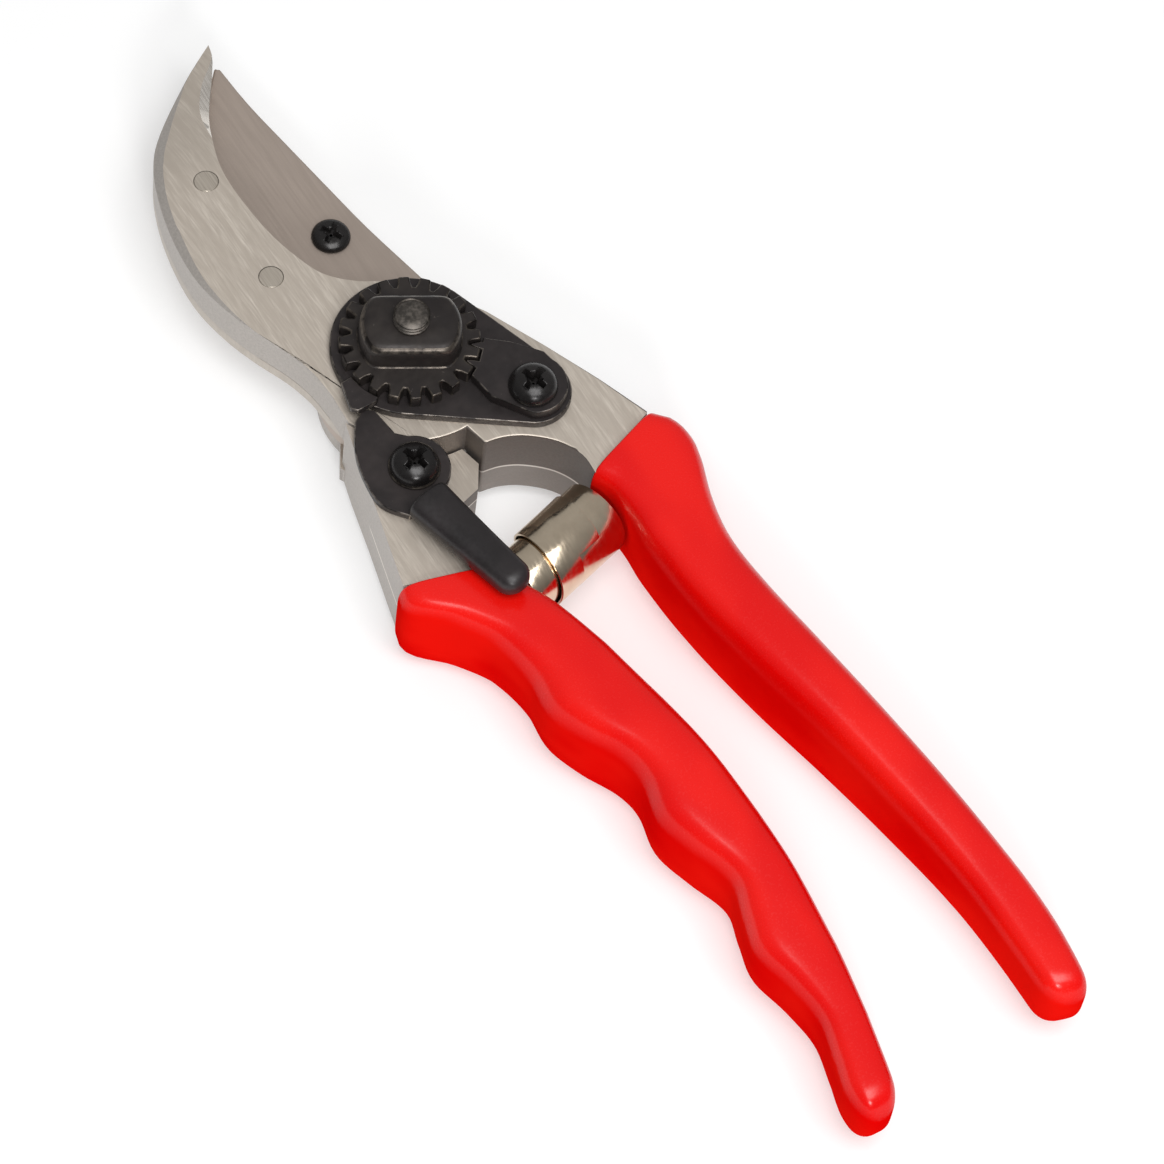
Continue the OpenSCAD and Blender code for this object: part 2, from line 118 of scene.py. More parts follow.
class Graph:
    """The node graph of one material, with a short call for each kind of node it uses."""

    def __init__(self, name: str) -> None:
        """Makes an empty material.

        Args:
            name: the material's name.
        """
        self.material = bpy.data.materials.new(name)
        self.material.use_nodes = True
        self.nodes = self.material.node_tree.nodes
        self.links = self.material.node_tree.links
        self.nodes.clear()
        self.output = self.nodes.new("ShaderNodeOutputMaterial")
        self.shader = self.nodes.new("ShaderNodeBsdfPrincipled")
        self.links.new(self.shader.outputs["BSDF"], self.output.inputs["Surface"])
        self.place = self.nodes.new("ShaderNodeTexCoord")

    def feed(self, source: object, target: Socket) -> None:
        """Links a socket to a target, or sets the target to a plain value."""
        if isinstance(source, Socket):
            self.links.new(source, target)
        else:
            target.default_value = source

    def spot(self, scale: Triple, turn: float = 0.0) -> Socket:
        """Object coordinates turned about Z and stretched.

        Args:
            scale: how many pattern units one metre holds along X, Y and Z.
            turn: the turn about Z in degrees.

        Returns:
            The mapped coordinates.
        """
        mapping = self.nodes.new("ShaderNodeMapping")
        mapping.inputs["Scale"].default_value = scale
        mapping.inputs["Rotation"].default_value = (0, 0, math.radians(turn))
        self.links.new(self.place.outputs["Object"], mapping.inputs["Vector"])
        return mapping.outputs["Vector"]

    def noise(self, at: Socket, detail: float = 3.0, roughness: float = 0.55) -> Socket:
        """Cloudy noise at the given coordinates, from 0 to 1."""
        node = self.nodes.new("ShaderNodeTexNoise")
        node.inputs["Scale"].default_value = 1.0
        node.inputs["Detail"].default_value = detail
        node.inputs["Roughness"].default_value = roughness
        self.links.new(at, node.inputs["Vector"])
        return node.outputs["Fac"]

    def ramp(self, fac: Socket, low: float, high: float, start: float = 0.0,
             end: float = 1.0) -> Socket:
        """A value that runs from start to end while fac runs from low to high."""
        node = self.nodes.new("ShaderNodeMapRange")
        node.interpolation_type = "SMOOTHSTEP"
        for name, value in (("From Min", low), ("From Max", high), ("To Min", start), ("To Max", end)):
            node.inputs[name].default_value = value
        self.links.new(fac, node.inputs["Value"])
        return node.outputs["Result"]

    def mix(self, fac: object, one: object, other: object) -> Socket:
        """A blend of two colours by fac."""
        node = self.nodes.new("ShaderNodeMix")
        node.data_type = "RGBA"
        self.feed(fac, node.inputs[0])
        self.feed(one, node.inputs[6])
        self.feed(other, node.inputs[7])
        return node.outputs[2]

    def math(self, kind: str, one: object, other: object = 0.0) -> Socket:
        """One arithmetic step on two values."""
        node = self.nodes.new("ShaderNodeMath")
        node.operation = kind
        self.feed(one, node.inputs[0])
        self.feed(other, node.inputs[1])
        return node.outputs[0]

    def axis(self, name: str, source: str = "Object") -> Socket:
        """One component of the object coordinates or of the object's normal."""
        node = self.nodes.new("ShaderNodeSeparateXYZ")
        self.links.new(self.place.outputs[source], node.inputs[0])
        return node.outputs[name]

    def bump(self, height: Socket, distance: float, strength: float = 1.0,
             under: object = None) -> Socket:
        """A normal bent by a height map.

        Args:
            height: the height map, from 0 to 1.
            distance: the real height in millimetres that 1 stands for.
            strength: the share of the bump that shows.
            under: a normal to build on.

        Returns:
            The bent normal.
        """
        node = self.nodes.new("ShaderNodeBump")
        node.inputs["Strength"].default_value = strength
        node.inputs["Distance"].default_value = distance * MM
        self.links.new(height, node.inputs["Height"])
        if under is not None:
            self.links.new(under, node.inputs["Normal"])
        return node.outputs["Normal"]

    def surface(self, **values: object) -> Material:
        """Sets or links the shader's sockets, spelt with underscores for spaces, and gives the material."""
        for name, value in values.items():
            self.feed(value, self.shader.inputs[name.replace("_", " ")])
        return self.material


@dataclass(frozen=True)
class ForgedAluminium:
    """Forged handles: a belt-ground face with brush marks, satin walls with the dies' parting line, and
    painted shade on the arch walls below the pivot.
    """

    name: str = "forged_aluminium"
    face: Rgb = (230, 220, 207)
    dull: Rgb = (200, 189, 176)
    wall: Rgb = (186, 180, 174)
    # painted shade: the next two colours are the wall colour darkened for the shade on the arch walls below
    # the pivot, above and below the parting line
    painted_shade: Rgb = (112, 104, 98)
    painted_shade_low: Rgb = (150, 144, 138)
    pitted: Rgb = (132, 126, 120)
    flash: Rgb = (232, 226, 218)
    parting_z: float = 9.8
    # the spans in millimetres of y and x in which the walls carry painted shade
    shade_y_span: Point = (-12, -16)
    shade_x_span: Point = (-9, -5)
    arm_y: Point = (-19, -21)
    brush_turn: float = -4.0
    cross_turn: float = 14.0

    def band(self, g: Graph, axis: str, span: Point, start: float = 0.0, end: float = 1.0) -> Socket:
        """A value that runs from start to end across a span of an axis in millimetres."""
        return g.ramp(g.axis(axis), span[0] * MM, span[1] * MM, start, end)

    def make(self) -> Material:
        """The material."""
        g = Graph(self.name)
        along = g.noise(g.spot((4600, 260, 400), self.brush_turn), 4, 0.6)
        across = g.noise(g.spot((3600, 300, 400), self.cross_turn), 3, 0.6)
        fine = g.math("ADD", g.math("MULTIPLY", along, 0.65), g.math("MULTIPLY", across, 0.35))
        broad = g.noise(g.spot((900, 70, 200), self.brush_turn), 3, 0.6)
        cloud = g.noise(g.spot((90, 70, 90)), 3, 0.6)
        grain = g.noise(g.spot((2600, 2600, 2600)), 3, 0.65)
        up = g.ramp(g.axis("Z", "Normal"), 0.8, 0.95)
        marks = g.math("MULTIPLY", g.ramp(fine, 0.35, 0.7), g.ramp(broad, 0.3, 0.7))
        face = g.mix(marks, srgb(*self.dull), srgb(*self.face))
        face = g.mix(g.ramp(cloud, 0.35, 0.7, 0.0, 0.35), face, srgb(*self.dull))
        split = self.parting_z
        # painted shade on the arch walls below and right of the pivot: darker above the parting line than
        # below it
        skin = g.mix(self.band(g, "Z", (split - 0.3, split + 0.3)), srgb(*self.painted_shade_low), srgb(*self.painted_shade))
        shade_mask = g.math("MULTIPLY", self.band(g, "Y", self.shade_y_span), self.band(g, "X", self.shade_x_span))
        wall = g.mix(shade_mask, srgb(*self.wall), skin)
        wall = g.mix(g.ramp(grain, 0.3, 0.7, 0.0, 0.3), wall, srgb(*self.pitted))
        line = g.math("MULTIPLY", self.band(g, "Z", (split - 0.28, split - 0.12)),
                      self.band(g, "Z", (split + 0.12, split + 0.28), 1.0, 0.0))
        wall = g.mix(g.math("MULTIPLY", line, self.band(g, "Y", self.arm_y)), wall, srgb(*self.flash))
        rough = g.mix(up, (0.5, 0.5, 0.5, 1), g.ramp(fine, 0.3, 0.7, 0.3, 0.46))
        brushed = g.bump(fine, 0.03, 0.35)
        normal = g.bump(grain, 0.04, 0.25, brushed)
        return g.surface(Base_Color=g.mix(up, wall, face), Metallic=0.55, Roughness=rough, Normal=normal)


@dataclass(frozen=True)
class GroundSteel:
    """Steel ground in one direction, as on the blade, the counter blade and the rivets."""

    name: str
    light: Rgb
    dark: Rgb
    rough: float = 0.36
    turn: float = 0.0
    fineness: float = 4200.0
    metallic: float = 0.6
    contrast: float = 0.6

    def make(self) -> Material:
        """The material."""
        g = Graph(self.name)
        marks = g.noise(g.spot((self.fineness, self.fineness / 30, self.fineness / 12), self.turn), 4, 0.6)
        cloud = g.noise(g.spot((60, 45, 60)), 3, 0.6)
        colour = g.mix(g.ramp(marks, 0.3, 0.7, 0.6 - self.contrast / 2, 0.6 + self.contrast / 2),
                       srgb(*self.dark), srgb(*self.light))
        colour = g.mix(g.ramp(cloud, 0.4, 0.75, 0.0, 0.3), colour, srgb(*self.dark))
        rough = g.ramp(marks, 0.3, 0.7, self.rough - 0.05, self.rough + 0.07)
        return g.surface(Base_Color=colour, Metallic=self.metallic, Roughness=rough,
                         Normal=g.bump(marks, 0.015, 0.3))


@dataclass(frozen=True)
class BlackOxide:
    """Blackened steel with cloudy paler patches and a fine salt-and-pepper grain."""

    name: str
    base: Rgb = (40, 35, 35)
    pale: Rgb = (60, 53, 52)
    speck: Rgb = (120, 112, 104)
    rough: float = 0.46
    grain: float = 900.0

    def make(self) -> Material:
        """The material."""
        g = Graph(self.name)
        grain = g.noise(g.spot((self.grain,) * 3), 5, 0.7)
        cloud = g.noise(g.spot((160, 160, 160)), 3, 0.6)
        specks = g.ramp(grain, 0.66, 0.76, 0.0, 0.55)
        colour = g.mix(g.ramp(cloud, 0.35, 0.7, 0.0, 0.6), srgb(*self.base), srgb(*self.pale))
        colour = g.mix(specks, colour, srgb(*self.speck))
        rough = g.ramp(grain, 0.3, 0.7, self.rough - 0.08, self.rough + 0.1)
        return g.surface(Base_Color=colour, Metallic=0.35, Roughness=rough, Normal=g.bump(grain, 0.02, 0.35))


@dataclass(frozen=True)
class WornEdge:
    """An edge where the blackening has rubbed through to bright steel."""

    name: str = "worn_edge"
    bright: Rgb = (150, 142, 133)
    dark: Rgb = (48, 45, 44)

    def make(self) -> Material:
        """The material."""
        g = Graph(self.name)
        wear = g.noise(g.spot((420, 420, 420)), 4, 0.65)
        colour = g.mix(g.ramp(wear, 0.38, 0.62), srgb(*self.dark), srgb(*self.bright))
        return g.surface(Base_Color=colour, Metallic=0.8, Roughness=0.34, Normal=g.bump(wear, 0.02, 0.3))


@dataclass(frozen=True)
class RedCoat:
    """Dipped red vinyl with a faint unevenness from the dip. Its walls mirror less than its top does."""

    name: str = "red_coat"
    bright: Rgb = (232, 20, 12)
    deep: Rgb = (220, 5, 4)

    def make(self) -> Material:
        """The material."""
        g = Graph(self.name)
        swell = g.noise(g.spot((75, 40, 75)), 2, 0.5)
        peel = g.noise(g.spot((900, 900, 900)), 2, 0.5)
        dust = g.noise(g.spot((2400, 2400, 2400)), 2, 0.5)
        colour = g.mix(g.ramp(swell, 0.35, 0.65), srgb(*self.deep), srgb(*self.bright))
        rough = g.ramp(dust, 0.5, 0.8, 0.24, 0.4)
        normal = g.bump(peel, 0.02, 0.12, g.bump(swell, 0.25, 0.3))
        shine = g.ramp(g.axis("Z", "Normal"), 0.1, 0.75, 0.0, 0.4)
        return g.surface(Base_Color=colour, Roughness=rough, Normal=normal, Specular_IOR_Level=shine)


@dataclass(frozen=True)
class Nickel:
    """Bright plated spring steel with a warm tint and fine rolling marks round the strip."""

    name: str = "spring_nickel"
    tint: Rgb = (226, 210, 186)
    dull: Rgb = (190, 172, 150)

    def make(self) -> Material:
        """The material."""
        g = Graph(self.name)
        cloud = g.noise(g.spot((240, 240, 240)), 3, 0.6)
        marks = g.noise(g.spot((2600, 500, 500), 15), 3, 0.6)
        colour = g.mix(g.ramp(cloud, 0.3, 0.75, 0.0, 0.4), srgb(*self.tint), srgb(*self.dull))
        return g.surface(Base_Color=colour, Metallic=1.0, Roughness=g.ramp(marks, 0.3, 0.7, 0.13, 0.24),
                         Normal=g.bump(marks, 0.01, 0.3))


@dataclass(frozen=True)
class Moulding:
    """The catch's dipped sleeve: soft black plastic with a faint grain."""

    name: str = "black_moulding"
    deep: Rgb = (25, 21, 22)
    pale: Rgb = (36, 31, 32)

    def make(self) -> Material:
        """The material."""
        g = Graph(self.name)
        grain = g.noise(g.spot((1500, 1500, 1500)), 4, 0.6)
        cloud = g.noise(g.spot((150, 150, 150)), 2, 0.5)
        colour = g.mix(g.ramp(cloud, 0.3, 0.7), srgb(*self.deep), srgb(*self.pale))
        return g.surface(Base_Color=colour, Roughness=g.ramp(grain, 0.3, 0.7, 0.34, 0.46),
                         Normal=g.bump(grain, 0.02, 0.3), Specular_IOR_Level=0.5)


@dataclass(frozen=True)
class PlainMetal:
    """Turned metal with rings of fine tool marks, such as the bolt, its washer and the bush."""

    name: str
    colour: Rgb
    rough: float = 0.4
    darker: float = 0.72

    def make(self) -> Material:
        """The material."""
        g = Graph(self.name)
        grain = g.noise(g.spot((1400, 1400, 2600)), 4, 0.6)
        dark = tuple(int(c * self.darker) for c in self.colour)
        colour = g.mix(g.ramp(grain, 0.35, 0.7), srgb(*dark), srgb(*self.colour))
        return g.surface(Base_Color=colour, Metallic=0.9, Normal=g.bump(grain, 0.02, 0.3),
                         Roughness=g.ramp(grain, 0.3, 0.7, self.rough - 0.06, self.rough + 0.1))


class Finishes:
    """The finishes by name, each material made once when it is first asked for."""

    KINDS = {
        "forged": ForgedAluminium(),
        "counter": GroundSteel("ground_steel", (196, 188, 178), (168, 159, 149)),
        "rivet": GroundSteel("rivet_steel", (200, 191, 178), (170, 160, 148), turn=35),
        "polished": GroundSteel("polished_edge", (236, 230, 222), (206, 198, 188), 0.26, metallic=0.8),
        "blade": GroundSteel("blade_steel", (188, 174, 163), (168, 154, 143), 0.42, turn=80,
                             fineness=3000, contrast=0.25),
        "oxide": BlackOxide("black_oxide_steel"),
        "nut": BlackOxide("nut_oxide", (36, 31, 30), (58, 52, 48), rough=0.5, grain=650),
        "screw": BlackOxide("black_screws", (30, 28, 28), (44, 41, 40), rough=0.25, grain=1300),
        "worn": WornEdge("worn_edge", (118, 111, 105), (46, 43, 42)),
        "worn_nut": WornEdge("worn_nut", (90, 83, 76), (40, 36, 34)),
        "coat": RedCoat(),
        "nickel": Nickel(),
        "moulding": Moulding(),
        "bolt": PlainMetal("bolt_steel", (112, 106, 100), 0.42),
        "washer": PlainMetal("washer_steel", (150, 146, 140), 0.35),
        "bronze": PlainMetal("bronze", (176, 132, 74), 0.38),
    }
    made: dict[str, Material] = {}

    @classmethod
    def get(cls, name: str) -> Material:
        """The material of a finish."""
        if name not in cls.made:
            cls.made[name] = cls.KINDS[name].make()
        return cls.made[name]


# ---------------------------------------------------------------- the modelling bench


def only(piece: Piece | None = None) -> None:
    """Selects one object alone and makes it active, or nothing at all, in object mode."""
    if bpy.context.object is not None and bpy.context.object.mode != "OBJECT":
        bpy.ops.object.mode_set(mode="OBJECT")
    bpy.ops.object.select_all(action="DESELECT")
    if piece is not None:
        piece.select_set(True)
        bpy.context.view_layer.objects.active = piece


def edit(piece: Piece, kind: str = "VERT") -> None:
    """Opens one object for editing with the given select mode."""
    only(piece)
    bpy.context.tool_settings.mesh_select_mode = (kind == "VERT", kind == "EDGE", kind == "FACE")
    bpy.ops.object.mode_set(mode="EDIT")


def done() -> None:
    """Goes back to object mode."""
    bpy.ops.object.mode_set(mode="OBJECT")


def on_all(piece: Piece, step: Callable[[], object]) -> None:
    """Opens an object, runs one mesh step on the whole of it, and closes it."""
    edit(piece)
    bpy.ops.mesh.select_all(action="SELECT")
    step()
    done()


def outward() -> None:
    """Turns the selected faces of a closed mesh outwards."""
    bpy.ops.mesh.normals_make_consistent(inside=False)


def pick(piece: Piece, kind: str, test: Callable[..., bool]) -> int:
    """Selects in edit mode what passes a test, and nothing else.

    Args:
        piece: the object that is open for editing.
        kind: VERT, EDGE or FACE.
        test: takes the bmesh element and says whether it is wanted.

    Returns:
        How many elements are selected.
    """
    bpy.ops.mesh.select_mode(type=kind)
    bpy.ops.mesh.select_all(action="DESELECT")
    mesh = bmesh.from_edit_mesh(piece.data)
    elements = {"VERT": mesh.verts, "EDGE": mesh.edges, "FACE": mesh.faces}[kind]
    chosen = [e for e in elements if test(e)]
    for element in chosen:
        element.select_set(True)
    bmesh.update_edit_mesh(piece.data)
    return len(chosen)


def apply_modifier(piece: Piece, kind: str, **settings: object) -> None:
    """Adds a modifier, sets it and applies it.

    Args:
        piece: the object.
        kind: the modifier's type.
        settings: the modifier's properties.
    """
    only(piece)
    modifier = piece.modifiers.new(kind.title(), kind)
    for name, value in settings.items():
        setattr(modifier, name, value)
    bpy.ops.object.modifier_apply(modifier=modifier.name)


def smooth_by_angle(piece: Piece, degrees: float = 32, plated: bool = False) -> None:
    """Shades a piece smooth.

    Args:
        piece: the object.
        degrees: the angle over which an edge stays sharp.
        plated: whether the piece has broad flat faces, which then keep their own normals.
    """
    only(piece)
    bpy.ops.object.shade_smooth_by_angle(angle=math.radians(degrees))
    if plated:
        apply_modifier(piece, "WEIGHTED_NORMAL", keep_sharp=True, weight=80)


def need_slots(piece: Piece, count: int) -> None:
    """Gives a piece at least so many material slots."""
    while len(piece.data.materials) < count:
        piece.data.materials.append(None)


def from_cad(node: str, name: str, hidden: Bores = (), flat: float = 0.7) -> Piece:
    """A working copy of a CAD node, merged and with its flat faces whole.

    Args:
        node: the CAD node.
        name: the new piece's name.
        hidden: the bores that another piece fills, each as its axis and a radius that holds its wall.
        flat: the angle in degrees up to which neighbouring faces become one.

    Returns:
        The copy.
    """
    piece = bpy.data.objects.new(name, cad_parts[node].data.copy())
    piece.data.name = name
    piece.data.materials.clear()
    bpy.context.scene.collection.objects.link(piece)
    edit(piece)
    bpy.ops.mesh.select_all(action="SELECT")
    bpy.ops.mesh.remove_doubles(threshold=WELD)
    for (x, y), radius in hidden:
        plug_bore(piece, Vector((x, y, 0)) * MM, radius * MM)
    bpy.ops.mesh.select_all(action="SELECT")
    bpy.ops.mesh.dissolve_limited(angle_limit=math.radians(flat))
    bpy.ops.mesh.select_all(action="SELECT")
    outward()
    done()
    return piece


def tidy_faces(piece: Piece, flat: float = 0.5, least: float = 1e-5) -> None:
    """Merges what cuts left behind: doubled points, slivers and seams inside flat faces.

    Args:
        piece: the object.
        flat: the angle in degrees up to which neighbouring faces become one.
        least: the length in metres below which an edge goes.
    """
    edit(piece)
    bpy.ops.mesh.select_all(action="SELECT")
    bpy.ops.mesh.remove_doubles(threshold=least)
    bpy.ops.mesh.dissolve_degenerate(threshold=least)
    bpy.ops.mesh.select_all(action="SELECT")
    bpy.ops.mesh.dissolve_limited(angle_limit=math.radians(flat), delimit={"MATERIAL"})
    done()


def plug_bore(piece: Piece, axis: Vector, radius: float) -> None:
    """Takes a bore's wall and floor away and closes what is left open.

    Args:
        piece: the object that is open for editing.
        axis: a point on the bore's axis.
        radius: a little more than the bore's radius.
    """
    def inside(element: bmesh.types.BMFace | bmesh.types.BMEdge) -> bool:
        """Whether all of a face or an edge lies within the radius."""
        return all((v.co - axis).to_2d().length < radius for v in element.verts)
    if pick(piece, "FACE", inside):
        bpy.ops.mesh.delete(type="FACE")
        pick(piece, "EDGE", lambda edge: edge.is_boundary and inside(edge))
        bpy.ops.mesh.edge_face_add()


def cut_away(piece: Piece, at: Vector, normal: Vector) -> None:
    """Cuts off what lies on the normal's side of a plane and closes the cut."""
    on_all(piece, lambda: bpy.ops.mesh.bisect(plane_co=at, plane_no=normal, use_fill=True, clear_outer=True))


def bevel_by(piece: Piece, rule: float | Callable[[Vector], float], segments: int = 2, widest: float = 1.0,
             least: float = 28.0, finish: int = -1) -> None:
    """Rounds the outward edges of a piece, each as wide as a rule says.

    Args:
        piece: the object.
        rule: the width in millimetres, or what gives it from the edge's middle in millimetres.
        segments: how many strips the rounding has.
        widest: the width that a full weight stands for, in millimetres.
        least: the smallest angle in degrees that is rounded.
        finish: the material slot of the rounded strips, or -1 for the neighbours' own.
    """
    need_slots(piece, finish + 1)
    mesh = bmesh.new()
    mesh.from_mesh(piece.data)
    layers = mesh.edges.layers.float
    weight = layers.get("bevel_weight_edge") or layers.new("bevel_weight_edge")
    for edge in mesh.edges:
        edge[weight] = 0.0
        if len(edge.link_faces) == 2 and math.degrees(edge.calc_face_angle_signed(0.0)) > least:
            width = rule((edge.verts[0].co + edge.verts[1].co) / (2 * MM)) if callable(rule) else rule
            edge[weight] = max(0.0, min(1.0, width / widest))
    mesh.to_mesh(piece.data)
    mesh.free()
    apply_modifier(piece, "BEVEL", limit_method="WEIGHT", width=widest * MM, segments=segments,
                   use_clamp_overlap=False, material=finish, loop_slide=True, miter_outer="MITER_ARC")
    on_all(piece, lambda: bpy.ops.mesh.remove_doubles(threshold=WELD))


def drawn_out(name: str, sections: Sequence[Section]) -> Piece:
    """A closed bar pulled out of a disc, one extrusion for each further section.

    Args:
        name: the piece's name.
        sections: rings of points in metres, all with as many points.

    Returns:
        The bar.
    """
    only()
    bpy.ops.mesh.primitive_circle_add(vertices=len(sections[0]), radius=MM, fill_type="NGON")
    piece = bpy.context.object
    piece.name = name
    piece.data.name = name
    edit(piece)
    mesh = bmesh.from_edit_mesh(piece.data)
    for vertex, point in zip(list(mesh.verts), sections[0]):
        vertex.co = point
    bpy.ops.mesh.select_all(action="SELECT")
    ring = {key(point): i for i, point in enumerate(sections[0])}
    for section in sections[1:]:
        bpy.ops.mesh.extrude_region_move()
        mesh = bmesh.from_edit_mesh(piece.data)
        moved = [v for v in mesh.verts if v.select]
        for vertex in moved:
            vertex.co = section[ring[key(vertex.co)]]
        bmesh.update_edit_mesh(piece.data)
        ring = {key(point): i for i, point in enumerate(section)}
    on_all(piece, outward)
    return piece


def key(point: Vector) -> tuple[int, int, int]:
    """A point's place to a tenth of a micrometre, as a key."""
    return (round(point[0] * 1e7), round(point[1] * 1e7), round(point[2] * 1e7))


def turned(name: str, profile: Sequence[Point], at: Triple, sides: int = 64) -> Piece:
    """A turned piece with a vertical axis.

    Args:
        name: the piece's name.
        profile: (radius, height) pairs in millimetres from the bottom's rim to the top's.
        at: the axis foot in millimetres.
        sides: how many facets go round.

    Returns:
        The piece.
    """
    def ring(radius: float, height: float) -> Section:
        """One ring of the profile."""
        return [Vector((at[0] + radius * math.cos(2 * math.pi * i / sides),
                        at[1] + radius * math.sin(2 * math.pi * i / sides), at[2] + height)) * MM
                for i in range(sides)]
    return drawn_out(name, [ring(r, h) for r, h in profile])


def finish_piece(piece: Piece, body: Body, finishes: Sequence[str],
                 nodes: Sequence[str]) -> Piece:
    """Gives a piece its finishes, its body and the CAD nodes it stands for.

    Args:
        piece: the finished mesh.
        body: the body it rides on.
        finishes: finish names, one for each material slot of the mesh.
        nodes: the CAD nodes that it replaces.

    Returns:
        The piece.
    """
    need_slots(piece, len(finishes))
    for i, name in enumerate(finishes):
        piece.data.materials[i] = Finishes.get(name)
    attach(piece, body.value)
    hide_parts(*nodes)
    piece.data.calc_loop_triangles()
    log.info("%s: %d triangles, rides on %s", piece.name, len(piece.data.loop_triangles), body.value)
    return piece


def stamped(node: str, body: Body, hidden: Bores, edge: float = 0.2) -> Piece:
    """A blackened plate stamped out of sheet, with worn edges.

    Args:
        node: the CAD node that it replaces, and the first part of its name.
        body: the body it rides on.
        hidden: its bores that other pieces fill.
        edge: how wide its edges are rounded, in millimetres.

    Returns:
        The piece.
    """
    plate = from_cad(node, f"{node}_stamped", hidden)
    bevel_by(plate, edge, least=30, finish=1)
    smooth_by_angle(plate, 35, plated=True)
    return finish_piece(plate, body, ["oxide", "worn"], [node])


class Curve:
    """A smooth curve through given (place, value) points that go down in place."""

    def __init__(self, points: Sequence[Point]) -> None:
        """Keeps the points.

        Args:
            points: (place, value) pairs.
        """
        self.points = list(points)

    def value(self, place: float) -> float:
        """The curve's value at a place."""
        p = self.points
        i = max([j for j in range(len(p) - 1) if place <= p[j][0] or j == 0])
        t = max(0.0, min(1.0, (p[i][0] - place) / (p[i][0] - p[i + 1][0])))
        def v(j: int) -> float:
            """The value of a point, or of the end point past an end."""
            return p[max(0, min(len(p) - 1, j))][1]
        return 0.5 * (2 * v(i) + t * (v(i + 1) - v(i - 1))
                      + t * t * (2 * v(i - 1) - 5 * v(i) + 4 * v(i + 1) - v(i + 2))
                      + t ** 3 * (3 * v(i) - v(i - 1) - 3 * v(i + 1) + v(i + 2)))


def signed_power(value: float, power: float) -> float:
    """A power that keeps the sign of its base."""
    return math.copysign(abs(value) ** power, value)


def fade(value: float, low: float, high: float) -> float:
    """0 at low and 1 at high, with a soft start and end."""
    t = max(0.0, min(1.0, (value - low) / (high - low)))
    return t * t * (3 - 2 * t)


# ---------------------------------------------------------------- sub-assemblies


@dataclass
class Stack:
    """Heights of the pivot stack in millimetres."""

    arm: float = 3.0
    blade: float = 6.6
    parting: float = 9.6
    hook: float = 12.0
    face: float = 19.2
    plate: float = 20.8
    flange: float = 23.3
    boss: float = 28.3
    middle: float = 11.1


def grind(piece: Piece, edge: Curve, span: tuple[float, float], inward: float,
          section: Callable[[float], list[Point]], steps: int = 24, finish: int = 0) -> None:
    """Grinds a long edge of a piece away with a shaped wheel that follows it.

    Args:
        piece: the object.
        edge: the edge's x at each y, in millimetres.
        span: the y at which the wheel starts and the lower y at which it stops.
        inward: 1 if the metal lies on the side of higher x, and -1 if it lies on the other.
        section: the wheel's section at a y, as (distance inwards, height) pairs.
        steps: how many steps the wheel takes.
        finish: the material slot of the ground face.
    """
    sections = []
    for i in range(steps + 1):
        y = span[0] + (span[1] - span[0]) * i / steps
        slope = edge.value(y - 0.5) - edge.value(y + 0.5)
        across = Vector((1, slope, 0)).normalized() * inward
        foot = Vector((edge.value(y), y, 0))
        sections.append([(foot + across * far + Vector((0, 0, height))) * MM for far, height in section(y)])
    wheel = drawn_out("wheel", sections)
    for face in wheel.data.polygons:
        face.material_index = finish
    need_slots(wheel, finish + 1)
    need_slots(piece, finish + 1)
    apply_modifier(piece, "BOOLEAN", object=wheel, operation="DIFFERENCE", solver="EXACT",
                   material_mode="INDEX")
    bpy.data.objects.remove(wheel)


